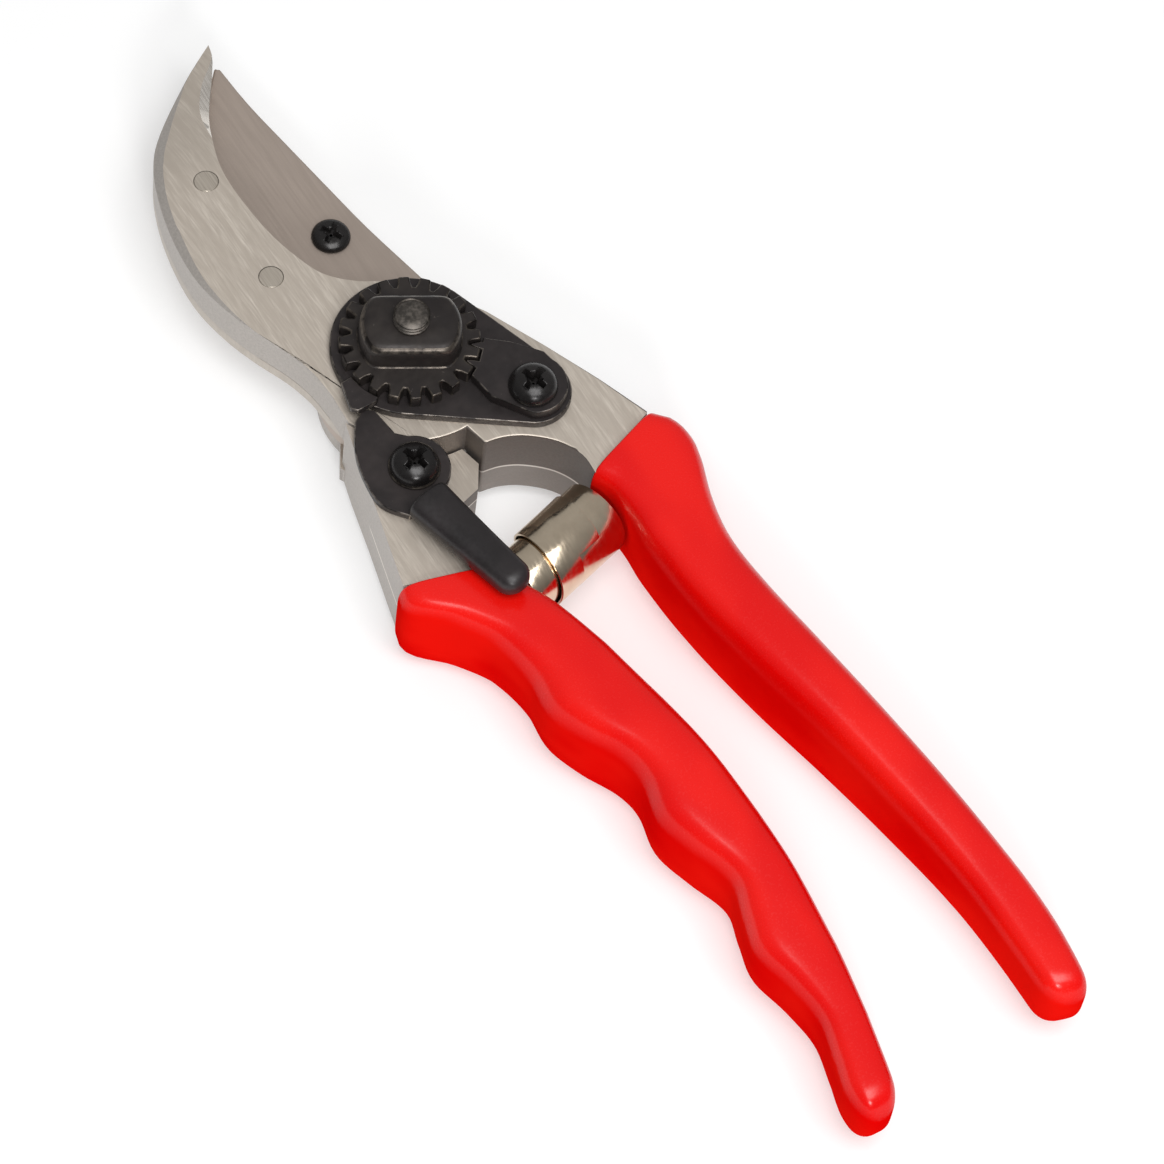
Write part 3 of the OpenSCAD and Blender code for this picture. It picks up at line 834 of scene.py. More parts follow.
@dataclass
class Forgings:
    """The two forged handles, with the parts of them that the coat hides cut off."""

    heights: Stack
    hidden_y: float = -46.0
    hook_mouth_y: float = -29.5
    blade_mouth_y: float = -35.0
    edge: float = 0.4
    fine: float = 0.16
    outer_chamfer: float = 1.3
    inner_chamfer: float = 1.9
    chamfer_fall: float = 0.7
    arm_round: float = 0.6
    thin_from: float = 47.0
    thin_slope: float = 0.2773
    thin_soft: float = 3.5
    bevelled_y: Point = (8.0, 12.5)
    hub_y: float = -18.0
    heel_y: float = -13.9
    arm_at: Point = (-14.0, -14.0)
    strips: tuple[float, ...] = (38.5, 41.5, 43.5, 45.5, 47, 48.5, 50.5, 53, 57, 61, 65)

    def cad_top(self, y: float) -> float:
        """The height of the hook's face as the CAD model has it."""
        return self.heights.face - max(0.0, y - self.thin_from) * self.thin_slope

    def soft_top(self, y: float) -> float:
        """The height of the hook's face, easing into its slope."""
        past = y - self.thin_from - 1
        return self.heights.face - self.thin_slope * (past + math.hypot(past, self.thin_soft)) / 2

    def thin_tip(self, hook: Piece) -> None:
        """Lets the hook thin towards its tip without a crease.

        Args:
            hook: the hook's forging, before its edges are rounded.
        """
        edit(hook)
        for y in self.strips:
            bpy.ops.mesh.select_all(action="SELECT")
            bpy.ops.mesh.bisect(plane_co=(0, y * MM, 0), plane_no=(0, 1, 0))
        mesh = bmesh.from_edit_mesh(hook.data)
        for vertex in mesh.verts:
            _, y, z = vertex.co / MM
            if y > self.strips[0] - 0.5 and abs(z - self.cad_top(y)) < 0.02:
                vertex.co.z = self.soft_top(y) * MM
        bmesh.update_edit_mesh(hook.data)
        done()

    def chamfer(self, width: float, y: float) -> list[Point]:
        """The wheel's section for a chamfer of some width at y, flatter than it is wide."""
        top, fall = self.soft_top(y), self.chamfer_fall
        return [(width + 1, top + fall), (-2, top - fall * (width + 2)), (-2, top + 3)]

    def outer_width(self, y: float) -> float:
        """The outer chamfer's width at y. Below 0, the wheel runs clear of the metal."""
        return (self.outer_chamfer + 0.5) * fade(y, 4, 38) * (1 - 0.8 * fade(y, 54, 66)) - 0.5

    def inner_width(self, y: float) -> float:
        """The polished chamfer's width at y. Below 0, the wheel runs clear of the metal."""
        return (self.inner_chamfer + 0.6) * fade(y, 47, 57) * (1 - 0.7 * fade(y, 60, 67)) - 0.6

    def grind_hook(self, hook: Piece) -> None:
        """Grinds the hook's broad outer chamfer and the polished one inside its tip.

        Args:
            hook: the hook's forging, thinned.
        """
        back = Curve([(68.8, 4.6), (64, -2.5), (56.3, -12.1), (50.7, -16.7), (43.5, -19.8), (35.5, -21.6),
                      (28, -22.1), (21, -21), (15, -19.1), (9, -16.6)])
        grind(hook, back, (66, 13), 1, lambda y: self.chamfer(self.outer_width(y), y), 40)
        edge = Curve([(68.8, 4.6), (65, 3.1), (57.5, -2.1), (51.3, -5.5), (44.2, -7.9), (36.5, -8.2),
                      (28.5, -7.4)])
        grind(hook, edge, (66.5, 46), -1, lambda y: self.chamfer(self.inner_width(y), y), 20, 1)

    def hook_edges(self, middle: Vector) -> float:
        """The edge width along the hook's forging: none inside the grip or on the ground hook."""
        low, high = self.bevelled_y
        if not self.hook_mouth_y < middle.y < high:
            return 0.0
        if middle.z < self.heights.hook + 0.1 and middle.y > self.hub_y:
            return self.fine
        return self.edge * (1 - fade(middle.y, low, high))

    def blade_edges(self, middle: Vector) -> float:
        """The edge width along the blade side's forging: none inside the grip or past the heel."""
        if not self.blade_mouth_y < middle.y < self.heel_y:
            return 0.0
        outer, below = middle.x < self.arm_at[0], middle.y < self.arm_at[1]
        if middle.z < self.heights.arm + 0.1 and outer and below:
            return self.arm_round
        return self.edge

    def build(self) -> list[Piece]:
        """Models both forgings.

        Returns:
            The two pieces.
        """
        cut = Vector((0, self.hidden_y * MM, 0))
        hook = from_cad("hook_handle", "hook_forging", [(PIVOT, BOLT_BORE), (SEGMENT_SCREW, SCREW_BORE)])
        cut_away(hook, cut, Vector((0, -1, 0)))
        self.thin_tip(hook)
        self.grind_hook(hook)
        tidy_faces(hook)
        bevel_by(hook, self.hook_edges, least=40)
        smooth_by_angle(hook, plated=True)
        finish_piece(hook, Body.HOOK, ["forged", "polished"], ["hook_handle"])
        blade = from_cad("blade_handle", "blade_forging",
                         [(PIVOT, BUSH_BORE), (BLADE_SCREW, SCREW_BORE), (CATCH_SCREW, SCREW_BORE)])
        cut_away(blade, cut, Vector((0, -1, 0)))
        bevel_by(blade, self.blade_edges, 4, 3.0, least=40)
        smooth_by_angle(blade, plated=True)
        finish_piece(blade, Body.BLADE, ["forged"], ["blade_handle"])
        return [hook, blade]


@dataclass
class Jaws:
    """The cutting blade, the counter blade and the rivets that hold it."""

    heights: Stack
    face_at: Callable[[float], float]
    rivet_d: float = 4.1
    rivets: tuple[Point, ...] = ((-11.3, 43.3), (-11.7, 22.6))
    bevel: float = 5.0
    land: float = 0.35
    gap: float = 0.07
    rim: float = 0.12
    plate_edge: float = 0.18
    fine_edge: float = 0.12
    back_edge: float = 0.3
    back_at: Point = (2.0, 10.0)

    def wheel(self, y: float) -> list[Point]:
        """The section of the wheel that grinds the long bevel under the cutting edge."""
        share = fade(y, 16.5, 30)
        width = max(0.1, self.bevel * share * (0.35 + 0.65 * fade(y, 66, 50)))
        under = self.heights.blade
        high = under + (self.heights.parting - under - self.land) * share
        return [(-2, under - 1), (width * 1.3, under - 1), (width, under), (0, high), (-2, high + 0.6)]

    def blade_edges(self, middle: Vector) -> float:
        """The edge width on the blade, broader along its back."""
        on_back = middle.x > self.back_at[0] and middle.y > self.back_at[1]
        return self.back_edge if on_back else self.fine_edge

    def build(self) -> list[Piece]:
        """Models the jaws.

        Returns:
            The pieces.
        """
        counter = from_cad("counter_blade", "counter_blade_plate",
                           [(PIVOT, BOLT_BORE)] + [(place, self.rivet_d / 2 + 0.2) for place in self.rivets])
        bevel_by(counter, self.plate_edge)
        smooth_by_angle(counter, plated=True)
        finish_piece(counter, Body.HOOK, ["counter"], ["counter_blade"])
        blade = from_cad("cutting_blade", "cutting_blade_plate",
                         [(PIVOT, BUSH_BORE), (BLADE_SCREW, SCREW_BORE)])
        edge = Curve([(66.6, 4.6), (61.5, 0.0), (54.5, -5.6), (45, -9.6), (35, -11.6), (25, -12.2),
                      (15, -11.4), (7.5, -12.3)])
        grind(blade, edge, (66.6, 16.6), 1, self.wheel)
        bevel_by(blade, self.blade_edges, least=50)
        smooth_by_angle(blade, 18, plated=True)
        finish_piece(blade, Body.BLADE, ["blade"], ["cutting_blade"])
        pieces = [counter, blade]
        radius, rim = self.rivet_d / 2 - self.gap, self.rim
        for number, (x, y) in enumerate(self.rivets, 1):
            top = self.face_at(y) + 0.01
            rivet = turned(f"rivet_{number}", [(radius, self.heights.parting + 0.1), (radius, top - rim),
                                               (radius - rim, top), (0.1, top + 0.01)], (x, y, 0), 48)
            smooth_by_angle(rivet)
            pieces.append(finish_piece(rivet, Body.HOOK, ["rivet"], ["counter_blade_rivets"]))
        return pieces


@dataclass
class CrossScrew:
    """A black domed screw head with a cross recess."""

    name: str
    node: str
    at: Point
    foot: float
    diameter: float
    height: float
    body: Body
    shank: float = 4.0
    reach: float = 6.0
    turn: float = 20.0
    recess: float = 0.64
    rim: float = 0.28
    dome_shape: float = 0.86

    def place(self, height: float) -> Triple:
        """A point of the screw's axis in metres."""
        return (self.at[0] * MM, self.at[1] * MM, height * MM)

    def head(self) -> Piece:
        """The domed head on its short shank."""
        radius, steps = self.diameter / 2, 12
        arc = [math.radians(90 * i / steps) for i in range(steps)]
        dome = [(radius * math.cos(turn) ** self.dome_shape,
                 self.rim + (self.height - self.rim) * math.sin(turn)) for turn in arc]
        profile = [(self.shank / 2, -self.reach), (self.shank / 2, 0), (radius - 0.15, 0), (radius, 0.12)]
        return turned(self.name, profile + dome + [(0.12, self.height)], (*self.at, self.foot), 72)

    def driver(self) -> Piece:
        """The tapered cross of the driver's tip, with a pointed middle."""
        half, depth = self.diameter * self.recess / 2, self.height * 0.92
        top = self.foot + self.height + 0.4
        bars = []
        for quarter in (0, 90):
            only()
            bpy.ops.mesh.primitive_cube_add(size=1, location=self.place(top - depth / 2))
            bar = bpy.context.object
            bar.scale = (half * 2 * MM, half * 0.44 * MM, depth * MM)
            bar.rotation_euler = (0, 0, math.radians(self.turn + quarter))
            bpy.ops.object.transform_apply(location=False, rotation=False, scale=True)
            edit(bar, "FACE")
            pick(bar, "FACE", lambda f: f.normal.z < -0.9)
            bpy.ops.transform.resize(value=(0.45, 0.6, 1))
            done()
            bars.append(bar)
        only()
        bpy.ops.mesh.primitive_cone_add(vertices=24, radius1=0, radius2=half * 0.62 * MM,
                                        depth=depth * 1.1 * MM, location=self.place(top - depth * 0.55))
        bars.append(bpy.context.object)
        tip = bars[0]
        for bar in bars:
            only(bar)
            bpy.ops.object.transform_apply(location=True, rotation=True, scale=True)
        for other in bars[1:]:
            apply_modifier(tip, "BOOLEAN", object=other, operation="UNION", solver="EXACT")
            bpy.data.objects.remove(other)
        return tip

    def build(self) -> Piece:
        """Models the screw.

        Returns:
            The piece.
        """
        head, driver = self.head(), self.driver()
        apply_modifier(head, "BOOLEAN", object=driver, operation="DIFFERENCE", solver="EXACT")
        bpy.data.objects.remove(driver)
        bevel_by(head, 0.12, least=42)
        smooth_by_angle(head, 35)
        return finish_piece(head, self.body, ["screw"], [self.node])


@dataclass
class PivotGroup:
    """The bolt, its washer and bush, the adjusting nut, the lock plate and its toothed segment."""

    heights: Stack
    head_d: float = 17.0
    head_t: float = 2.5
    shank_d: float = 8.0
    thread_d: float = 5.8
    thread_show: float = 2.2
    thread_pitch: float = 0.8
    boss_d: float = 16.3
    boss_flats: float = 11.0
    boss_turn: float = -30.0
    boss_edge: float = 1.7
    boss_power: float = 20.0
    boss_sides: int = 96
    tooth_edge: float = 0.28
    under_edge: float = 0.1
    thread_depth: float = 0.42

    def bolt(self) -> Piece:
        """The bolt, with its rings of thread above the nut."""
        top, crest = self.heights.boss + self.thread_show, self.thread_d / 2
        head, shank, root = self.head_d / 2, self.shank_d / 2, crest - self.thread_depth
        profile = [(head - 1.2, 0), (head - 0.5, 0.18), (head - 0.1, 0.7), (head, 1.2),
                   (head, self.head_t - 0.2), (head - 0.2, self.head_t), (shank, self.head_t + 0.01),
                   (shank, self.heights.plate - 0.3), (crest, self.heights.plate)]
        z = self.heights.boss - 1.2
        while z < top - self.thread_pitch * 0.9:
            profile += [(crest, z), (crest - 0.05, z + 0.16), (root, z + 0.38), (root, z + 0.48),
                        (crest - 0.05, z + 0.7)]
            z += self.thread_pitch
        profile += [(crest, z), (crest - 0.1, top - 0.45), (crest - 0.75, top), (crest - 1.6, top - 0.02),
                    (0.1, top - 0.05)]
        piece = turned("pivot_bolt_turned", profile, (0, 0, 0), 64)
        smooth_by_angle(piece, 40)
        return finish_piece(piece, Body.HOOK, ["bolt"], ["pivot_bolt"])

    def boss_ring(self, inward: float, height: float) -> Section:
        """One ring of the nut's boss.

        Args:
            inward: how far inside the boss's outline the ring lies, in millimetres.
            height: its height in millimetres.

        Returns:
            The ring's points in metres.
        """
        points = []
        for i in range(self.boss_sides):
            angle = 2 * math.pi * i / self.boss_sides
            across = abs(math.sin(angle - math.radians(self.boss_turn)))
            flat = (self.boss_flats / 2 - inward) / max(across, 1e-4)
            round_ = self.boss_d / 2 - inward
            radius = (flat ** -self.boss_power + round_ ** -self.boss_power) ** (-1 / self.boss_power)
            points.append(Vector((radius * math.cos(angle), radius * math.sin(angle), height)) * MM)
        return points

    def boss(self) -> Piece:
        """The nut's boss: two flats, round corners, a soft shoulder and a nearly flat top."""
        foot, top, soft = self.heights.flange, self.heights.boss, self.boss_edge
        rings = [self.boss_ring(inward, foot + rise)
                 for inward, rise in ((-0.3, -0.3), (-0.3, 0.02), (-0.08, 0.16), (0, 0.5))]
        for i in range(9):
            turn = math.radians(90 * i / 8)
            inward, drop = soft * (1 - math.cos(turn)), soft * (1 - math.sin(turn))
            rings.append(self.boss_ring(inward, top - 0.25 - drop))
        rings += [self.boss_ring(soft + 0.8, top - 0.12), self.boss_ring(soft + 1.8, top - 0.02)]
        piece = drawn_out("adjusting_nut_boss", rings)
        smooth_by_angle(piece, 40)
        need_slots(piece, 2)
        for face in piece.data.polygons:
            face.material_index = int(0.45 < face.normal.z < 0.85)
        return finish_piece(piece, Body.HOOK, ["nut", "worn_nut"], ["adjusting_nut"])

    def flange_edges(self, middle: Vector) -> float:
        """The edge width on the nut's toothed flange: soft on top, fine below."""
        radius = math.hypot(middle.x, middle.y)
        if middle.z > self.heights.flange + 0.1 or radius < self.boss_d / 2 + 0.2:
            return 0.0
        return self.tooth_edge if middle.z > self.heights.plate + 0.1 else self.under_edge

    def build(self) -> list[Piece]:
        """Models the group.

        Returns:
            The pieces.
        """
        nut = from_cad("adjusting_nut", "adjusting_nut_flange", [(PIVOT, 3.1)])
        cut_away(nut, Vector((0, 0, (self.heights.flange + 0.2) * MM)), Vector((0, 0, 1)))
        bevel_by(nut, self.flange_edges, 3, least=18, finish=1)
        smooth_by_angle(nut, 40, plated=True)
        finish_piece(nut, Body.HOOK, ["nut", "worn_nut"], ["adjusting_nut"])
        pieces = [nut, self.boss(), self.bolt()]
        for node in ("lock_plate", "toothed_segment"):
            pieces.append(stamped(node, Body.HOOK, [(PIVOT, BOLT_BORE), (SEGMENT_SCREW, SCREW_BORE)]))
        rim, low, high = self.head_d / 2 - 1, self.head_t, self.heights.arm
        profile = [(rim - 0.2, low + 0.02), (rim, low + 0.12), (rim, high - 0.17), (rim - 0.1, high - 0.06),
                   (self.shank_d / 2 - 0.2, high - 0.05)]
        washer = turned("pivot_washer_ring", profile, (0, 0, 0), 64)
        smooth_by_angle(washer)
        pieces.append(finish_piece(washer, Body.HOOK, ["washer"], ["pivot_washer"]))
        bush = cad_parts["pivot_bush"]
        bush.data.materials.clear()
        bush.data.materials.append(Finishes.get("bronze"))
        log.info("pivot_bush: keeps its shape, in bronze")
        pieces.append(CrossScrew("segment_screw_head", "segment_screw", SEGMENT_SCREW, self.heights.plate + 2,
                                 7.9, 2.8, Body.HOOK).build())
        return pieces


@dataclass
class Grip:
    """One red grip: a dipped coat over the forging's tang, pulled along two side rails."""

    name: str
    node: str
    body: Body
    left: Curve
    right: Curve
    left_top: float
    right_top: float
    end: float
    end_skew: float
    thickness: Curve
    middle: float
    POWER: ClassVar[Curve] = Curve([(-28, 6), (-36, 5.4), (-48, 4), (-60, 3.4), (-152, 3.4)])
    coat: float = 1.0
    round_end: float = 4.6
    round_shape: float = 0.78
    lip: float = 0.4
    around: int = 56
    along: int = 96

    def section(self, share: float, skin: float, inward: float = 0.0, swell: float = 1.0,
                down: float = 0.0) -> Section:
        """One ring of the coat.

        Args:
            share: 0 at the mouth and 1 where the rounded end starts.
            skin: how far inside the coat's surface the ring lies.
            inward: how far below its rail points the ring lies.
            swell: the ring's size, below 1 in the rounded end.
            down: how far into the rounded end the ring lies.

        Returns:
            The ring's points in metres.
        """
        stops = (self.end + self.end_skew / 2 + self.round_end, self.end - self.end_skew / 2 + self.round_end)
        low = [top + (stop - top) * share - inward - down
               for top, stop in zip((self.left_top, self.right_top), stops)]
        a = Vector((self.left.value(low[0]), low[0], 0))
        b = Vector((self.right.value(low[1]), low[1], 0))
        centre, half, across = (a + b) / 2, (b - a).length / 2, (b - a).normalized()
        tall, power = self.thickness.value(low[0]) / 2, self.POWER.value(low[0])
        points = []
        for i in range(self.around):
            angle = 2 * math.pi * i / self.around
            x = (half * swell - skin) * signed_power(math.cos(angle), 2 / power)
            z = (tall * swell - skin) * signed_power(math.sin(angle), 2 / power)
            points.append((centre + across * x + Vector((0, 0, self.middle + z))) * MM)
        return points

    def sections(self) -> list[Section]:
        """All rings, from inside the mouth round its lip and down to the end."""
        rings = [self.section(0, self.coat + 0.15, 3.0), self.section(0, self.coat + 0.15, 0.35)]
        for i in range(7):
            turn = math.radians(90 * i / 6)
            rings.append(self.section(0, self.lip * (1 - math.sin(turn)), self.lip * (1 - math.cos(turn))))
        rings += [self.section(i / self.along, 0) for i in range(1, self.along + 1)
                  if i / self.along * (self.left_top - self.end) > 2]
        steps = 12
        for i in range(1, steps + 1):
            turn = math.radians(88 * i / steps)
            size = max(math.cos(turn) ** self.round_shape, 0.05)
            rings.append(self.section(1, 0, 0, size, self.round_end * math.sin(turn) ** self.round_shape))
        return rings

    def build(self) -> Piece:
        """Models the grip.

        Returns:
            The piece.
        """
        grip = drawn_out(self.name, self.sections())
        smooth_by_angle(grip, 60)
        return finish_piece(grip, self.body, ["coat"], [self.node])


@dataclass
class Grips:
    """Both grips and the rails they follow."""

    heights: Stack

    def thickness(self) -> Curve:
        """How thick the grips are along their length."""
        return Curve([(-28, 18.2), (-40, 18.8), (-62, 19.7), (-80, 20), (-100, 18), (-125, 14.9),
                      (-142, 13.5), (-152, 12.5)])

    def build(self) -> list[Piece]:
        """Models both grips.

        Returns:
            The pieces.
        """
        hook = Grip(
            "hook_grip_coat", "hook_grip", Body.HOOK,
            Curve([(-33.7, 12.8), (-37, 14.2), (-42, 14.5), (-48, 14), (-60, 14.5), (-75, 16.7), (-90, 19.7),
                   (-105, 22.2), (-120, 24.1), (-132, 24.5), (-150, 24.2)]),
            Curve([(-28.6, 27.9), (-31, 30.1), (-34, 31), (-38, 30.7), (-46, 28.1), (-53, 26.7), (-62, 26.9),
                   (-75, 28.4), (-90, 30.3), (-105, 32), (-120, 33.1), (-130, 33.4), (-138, 32.8),
                   (-150, 31)]),
            -33.7, -28.6, -145.9, 2.2, self.thickness(), self.heights.middle)
        blade = Grip(
            "blade_grip_coat", "blade_grip", Body.BLADE,
            Curve([(-35.6, -24.2), (-39, -24.6), (-44, -19.9), (-50, -16), (-58, -14.4), (-65, -14.9),
                   (-71, -12.9), (-77, -9.8), (-82, -9), (-89, -10.4), (-95, -9), (-103, -6.5), (-109, -8.1),
                   (-115, -9.6), (-122, -8.2), (-129, -7.5), (-136, -9.2), (-141, -10.6), (-150, -10.6)]),
            Curve([(-40.5, -7.4), (-50, -3.3), (-60, -0.3), (-75, 2.5), (-90, 3.9), (-105, 3.7), (-120, 2.1),
                   (-132, -0.3), (-141, -2.5), (-150, -5)]),
            -35.6, -40.5, -146.7, 0.3, self.thickness(), self.heights.middle)
        return [hook.build(), blade.build()]


@dataclass
class ThumbCatch:
    """The catch plate, its dipped sleeve, its washer and its screw, and the blade's own screw."""

    heights: Stack
    tail_root: Point = (-14.2, -19.4)
    tail_turn: float = 11.0
    tail_len: float = 28.5
    rise: float = 2.6
    thickness: float = 1.4
    sleeve_start: float = 6.2
    sleeve_w: tuple[float, float] = (7.6, 5.6)
    sleeve_h: float = 5.0
    sleeve_lift: float = 0.65
    round_end: float = 2.8
    power: float = 2.6
    sides: int = 40

    def ring(self, along: float, size: float) -> Section:
        """One ring of the sleeve.

        Args:
            along: the distance from the tail's root in millimetres.
            size: the ring's size, below 1 in the rounded ends.

        Returns:
            The ring's points in metres.
        """
        t = (along - self.sleeve_start) / (self.tail_len - self.sleeve_start)
        width = self.sleeve_w[0] + (self.sleeve_w[1] - self.sleeve_w[0]) * t
        centre = self.sleeve_lift + self.sleeve_h / 2 + self.rise / 2 * t * t
        turn = Matrix.Rotation(math.radians(-90 + self.tail_turn), 4, "Z")
        points = []
        for i in range(self.sides):
            angle = 2 * math.pi * i / self.sides
            across, up = (signed_power(part, 2 / self.power) for part in (math.cos(angle), math.sin(angle)))
            local = Vector((along, width / 2 * size * across, centre + self.sleeve_h / 2 * size * up))
            points.append((turn @ local + Vector((*self.tail_root, self.heights.face + 0.05))) * MM)
        return points

    def sleeve(self) -> Piece:
        """The sleeve, with a rounded shoulder and a round end."""
        first = self.sleeve_start
        shoulder = ((0, 0.8), (0.12, 0.9), (0.4, 0.975), (0.8, 1.0))
        rings = [self.ring(first + along, size) for along, size in shoulder]
        last = self.tail_len - self.round_end
        rings += [self.ring(first + 0.8 + (last - first - 0.8) * i / 18, 1.0) for i in range(1, 19)]
        for i in range(1, 11):
            turn = math.radians(88 * i / 10)
            rings.append(self.ring(last + self.round_end * math.sin(turn), max(0.05, math.cos(turn))))
        piece = drawn_out("catch_sleeve_dipped", rings)
        smooth_by_angle(piece, 50)
        return finish_piece(piece, Body.CATCH, ["moulding"], ["catch_sleeve"])

    def build(self) -> list[Piece]:
        """Models the catch.

        Returns:
            The pieces.
        """
        plate = stamped("catch_plate", Body.CATCH, [(CATCH_SCREW, 2.8)])
        top = self.heights.face + self.thickness + 0.55
        washer = turned("catch_washer_ring", [(2.4, top - 0.39), (4.05, top - 0.39), (4.15, top - 0.28),
                                              (4.15, top - 0.1), (4.05, top - 0.01), (2.4, top - 0.01)],
                        (*CATCH_SCREW, 0), 56)
        smooth_by_angle(washer)
        finish_piece(washer, Body.BLADE, ["worn_nut"], ["catch_washer"])
        screw = CrossScrew("catch_screw_head", "catch_screw", CATCH_SCREW, top, 7.9, 2.8, Body.BLADE, 5.0)
        blade_screw = CrossScrew("blade_screw_head", "blade_screw", BLADE_SCREW, self.heights.parting - 0.05,
                                 6.4, 1.6, Body.BLADE, reach=5.5, turn=32, recess=0.74)
        return [plate, washer, screw.build(), blade_screw.build(), self.sleeve()]


@dataclass
class VoluteSpring:
    """The return spring: a nickelled strip wound on itself, so that its wraps slide into each other."""

    heights: Stack
    left: Point = (-5.85, -41.6)
    right: Point = (12.7, -36.7)
    radii: tuple[float, ...] = (5.35, 5.35, 5.35, 5.4, 6.15, 6.2, 6.2, 6.2, 6.2, 5.85, 5.8)
    strip: float = 9.6
    gauge: float = 0.42
    turns: float = 3.4
    closed: float = 0.7
    steps: int = 72
    start_turn: float = 150.0

    def build(self) -> Piece:
        """Models the spring.

        Returns:
            The piece.
        """
        foot = Vector((*self.left, self.heights.middle))
        axis = Vector((*self.right, self.heights.middle)) - foot
        length = axis.length
        axis.normalize()
        side = axis.cross(Vector((0, 0, 1))).normalized()
        up = side.cross(axis)
        count = int(self.turns * self.steps)
        only()
        bpy.ops.mesh.primitive_plane_add(size=MM)
        piece = bpy.context.object
        piece.name = piece.data.name = "return_spring_strip"
        edit(piece)
        mesh = bmesh.from_edit_mesh(piece.data)
        ends = [self.edge_points(i, count, length, foot, axis, side, up) for i in range(count + 1)]
        for vertex, point in zip(list(mesh.verts), (ends[0][0], ends[1][0], ends[0][1], ends[1][1])):
            vertex.co = point
        for now, then in zip(ends[1:], ends[2:]):
            if pick_pair(piece, now) != 2:
                raise RuntimeError("the strip's end was lost")
            bpy.ops.mesh.extrude_edges_move()
            mesh = bmesh.from_edit_mesh(piece.data)
            for vertex in [v for v in mesh.verts if v.select]:
                nearer = (vertex.co - now[0]).length < (vertex.co - now[1]).length
                vertex.co = then[0] if nearer else then[1]
            bmesh.update_edit_mesh(piece.data)
        on_all(piece, outward)
        apply_modifier(piece, "SOLIDIFY", thickness=self.gauge * MM, offset=0.0)
        on_all(piece, outward)
        apply_modifier(piece, "BEVEL", limit_method="ANGLE", angle_limit=math.radians(50), width=0.1 * MM,
                       segments=2)
        smooth_by_angle(piece, 30)
        piece.data.materials.clear()
        piece.data.materials.append(Finishes.get("nickel"))
        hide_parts("return_spring")
        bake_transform(piece, Body.HOOK.value, Body.BLADE.value, tuple((foot + axis * length) * MM),
                 tuple(foot * MM))
        log.info("%s: bends between both handles", piece.name)
        return piece

    def edge_points(self, i: int, count: int, length: float, foot: Vector, axis: Vector, side: Vector,
                    up: Vector) -> tuple[Vector, Vector]:
        """Both edges of the strip at one step of its winding.

        Args:
            i: the step.
            count: how many steps the strip has.
            length: the spring's length in millimetres.
            foot: the axis' start.
            axis: the axis' direction.
            side: one direction across the axis.
            up: the other direction across the axis.

        Returns:
            The two edge points in metres.
        """
        turn = i / self.steps
        share = max(0.0, min(1.0, (turn - self.closed) / (self.turns - 2 * self.closed)))
        place = self.strip / 2 + (length - self.strip) * share
        knots = len(self.radii) - 1
        at = min(knots - 1e-6, max(0.0, turn / self.turns * knots))
        k = int(at)
        radius = self.radii[k] + (self.radii[k + 1] - self.radii[k]) * (at - k)
        angle = 2 * math.pi * turn + math.radians(self.start_turn)
        out = side * math.cos(angle) + up * math.sin(angle)
        return tuple((foot + axis * (place + half) + out * radius) * MM
                     for half in (-self.strip / 2, self.strip / 2))


def pick_pair(piece: Piece, pair: tuple[Vector, Vector]) -> int:
    """Selects the two vertices that lie at a pair of points, with the edge between them."""
    found = pick(piece, "VERT", lambda v: min((v.co - p).length for p in pair) < 1e-7)
    bmesh.from_edit_mesh(piece.data).select_flush(True)
    bmesh.update_edit_mesh(piece.data)
    return found


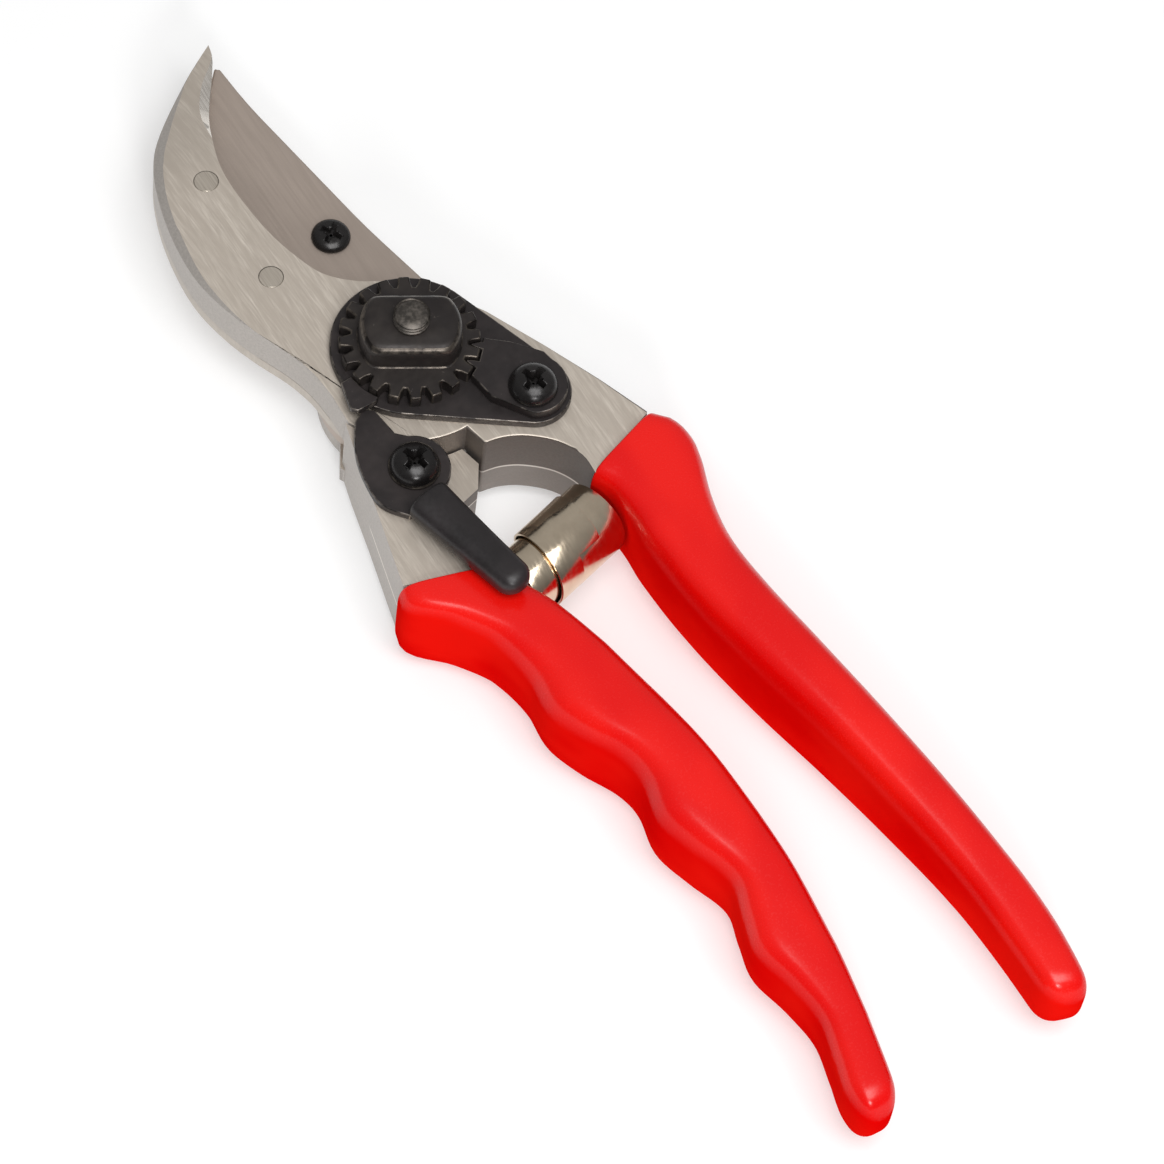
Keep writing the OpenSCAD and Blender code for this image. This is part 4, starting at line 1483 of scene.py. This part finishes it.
@dataclass
class Studio:
    """The pale floor, the soft light and the camera."""

    azimuth: float = -40.7
    elevation: float = 61.0
    roll: float = 9.0
    lens: float = 179.4
    place: Triple = (-0.28385, -0.38045, 0.8076)
    aim: Triple = (0.0, -0.04, 0.01)
    bright_side: Triple = (0.3, 0.45, 0.84)
    glow: Point = (0.14, 0.42)
    floor_glow: float = 0.4

    def camera(self) -> None:
        """Stands the camera at its place, turned by its azimuth, elevation and roll."""
        data = bpy.data.cameras.new("camera")
        data.lens, data.sensor_width = self.lens, 36.0
        data.clip_start, data.clip_end = 0.01, 20.0
        camera = bpy.data.objects.new("camera", data)
        bpy.context.scene.collection.objects.link(camera)
        a, e, r = (math.radians(v) for v in (self.azimuth, self.elevation, self.roll))
        back = Vector((math.sin(a) * math.cos(e), -math.cos(a) * math.cos(e), math.sin(e)))
        right = Vector((math.cos(a), math.sin(a), 0))
        above = back.cross(right)
        x, y = right * math.cos(r) + above * math.sin(r), above * math.cos(r) - right * math.sin(r)
        camera.matrix_world = Matrix.Translation(self.place) @ Matrix((x, y, back)).transposed().to_4x4()
        bpy.context.scene.camera = camera

    def light(self, name: str, place: Triple, size: float, power: float) -> None:
        """One square soft light that faces the middle of the object.

        Args:
            name: its name.
            place: its place in metres.
            size: its side in metres.
            power: its power in watts.
        """
        data = bpy.data.lights.new(name, "AREA")
        data.size, data.energy = size, power
        lamp = bpy.data.objects.new(name, data)
        lamp.location = place
        lamp.rotation_mode = "QUATERNION"
        lamp.rotation_quaternion = (Vector(place) - Vector(self.aim)).to_track_quat("Z", "Y")
        bpy.context.scene.collection.objects.link(lamp)

    def world(self) -> None:
        """A pale surround, brighter above and behind than in front."""
        world = bpy.data.worlds.new("studio")
        world.use_nodes = True
        nodes, links = world.node_tree.nodes, world.node_tree.links
        background = nodes["Background"]
        coordinates = nodes.new("ShaderNodeTexCoord")
        dot = nodes.new("ShaderNodeVectorMath")
        dot.operation = "DOT_PRODUCT"
        dot.inputs[1].default_value = self.bright_side
        ramp = nodes.new("ShaderNodeMapRange")
        low, high = self.glow
        for name, value in (("From Min", -0.1), ("From Max", 1.0), ("To Min", low), ("To Max", high)):
            ramp.inputs[name].default_value = value
        links.new(coordinates.outputs["Generated"], dot.inputs[0])
        links.new(dot.outputs["Value"], ramp.inputs["Value"])
        links.new(ramp.outputs["Result"], background.inputs["Strength"])
        background.inputs["Color"].default_value = (1, 1, 1, 1)
        bpy.context.scene.world = world

    def floor(self) -> None:
        """A plain pale floor under the object."""
        only()
        bpy.ops.mesh.primitive_plane_add(size=6, location=(0, 0, 0))
        floor = bpy.context.object
        floor.name = floor.data.name = "floor"
        graph = Graph("pale_floor")
        cloud = graph.noise(graph.spot((3, 3, 3)), 2, 0.5)
        colour = graph.mix(cloud, (0.6, 0.6, 0.6, 1), (0.63, 0.63, 0.63, 1))
        floor.data.materials.append(graph.surface(Base_Color=colour, Roughness=0.9, Specular_IOR_Level=0.1,
                                                  Emission_Color=(1, 1, 1, 1),
                                                  Emission_Strength=self.floor_glow))

    def build(self) -> None:
        """Sets the studio up."""
        self.camera()
        self.world()
        self.floor()
        self.light("overhead", (-0.1, -0.42, 1.02), 0.7, 9.0)
        self.light("key", (-0.42, -0.96, 0.65), 0.2, 4.0)
        bpy.context.scene.view_settings.view_transform = "Standard"


def main() -> None:
    """Builds the shears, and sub-assembly by sub-assembly."""
    logging.basicConfig(level=logging.INFO, format="%(name)s: %(message)s")
    heights = Stack()
    forgings = Forgings(heights)
    forgings.build()
    Jaws(heights, forgings.soft_top).build()
    PivotGroup(heights).build()
    Grips(heights).build()
    ThumbCatch(heights).build()
    VoluteSpring(heights).build()
    Studio().build()


if __name__ == "__main__":
    main()
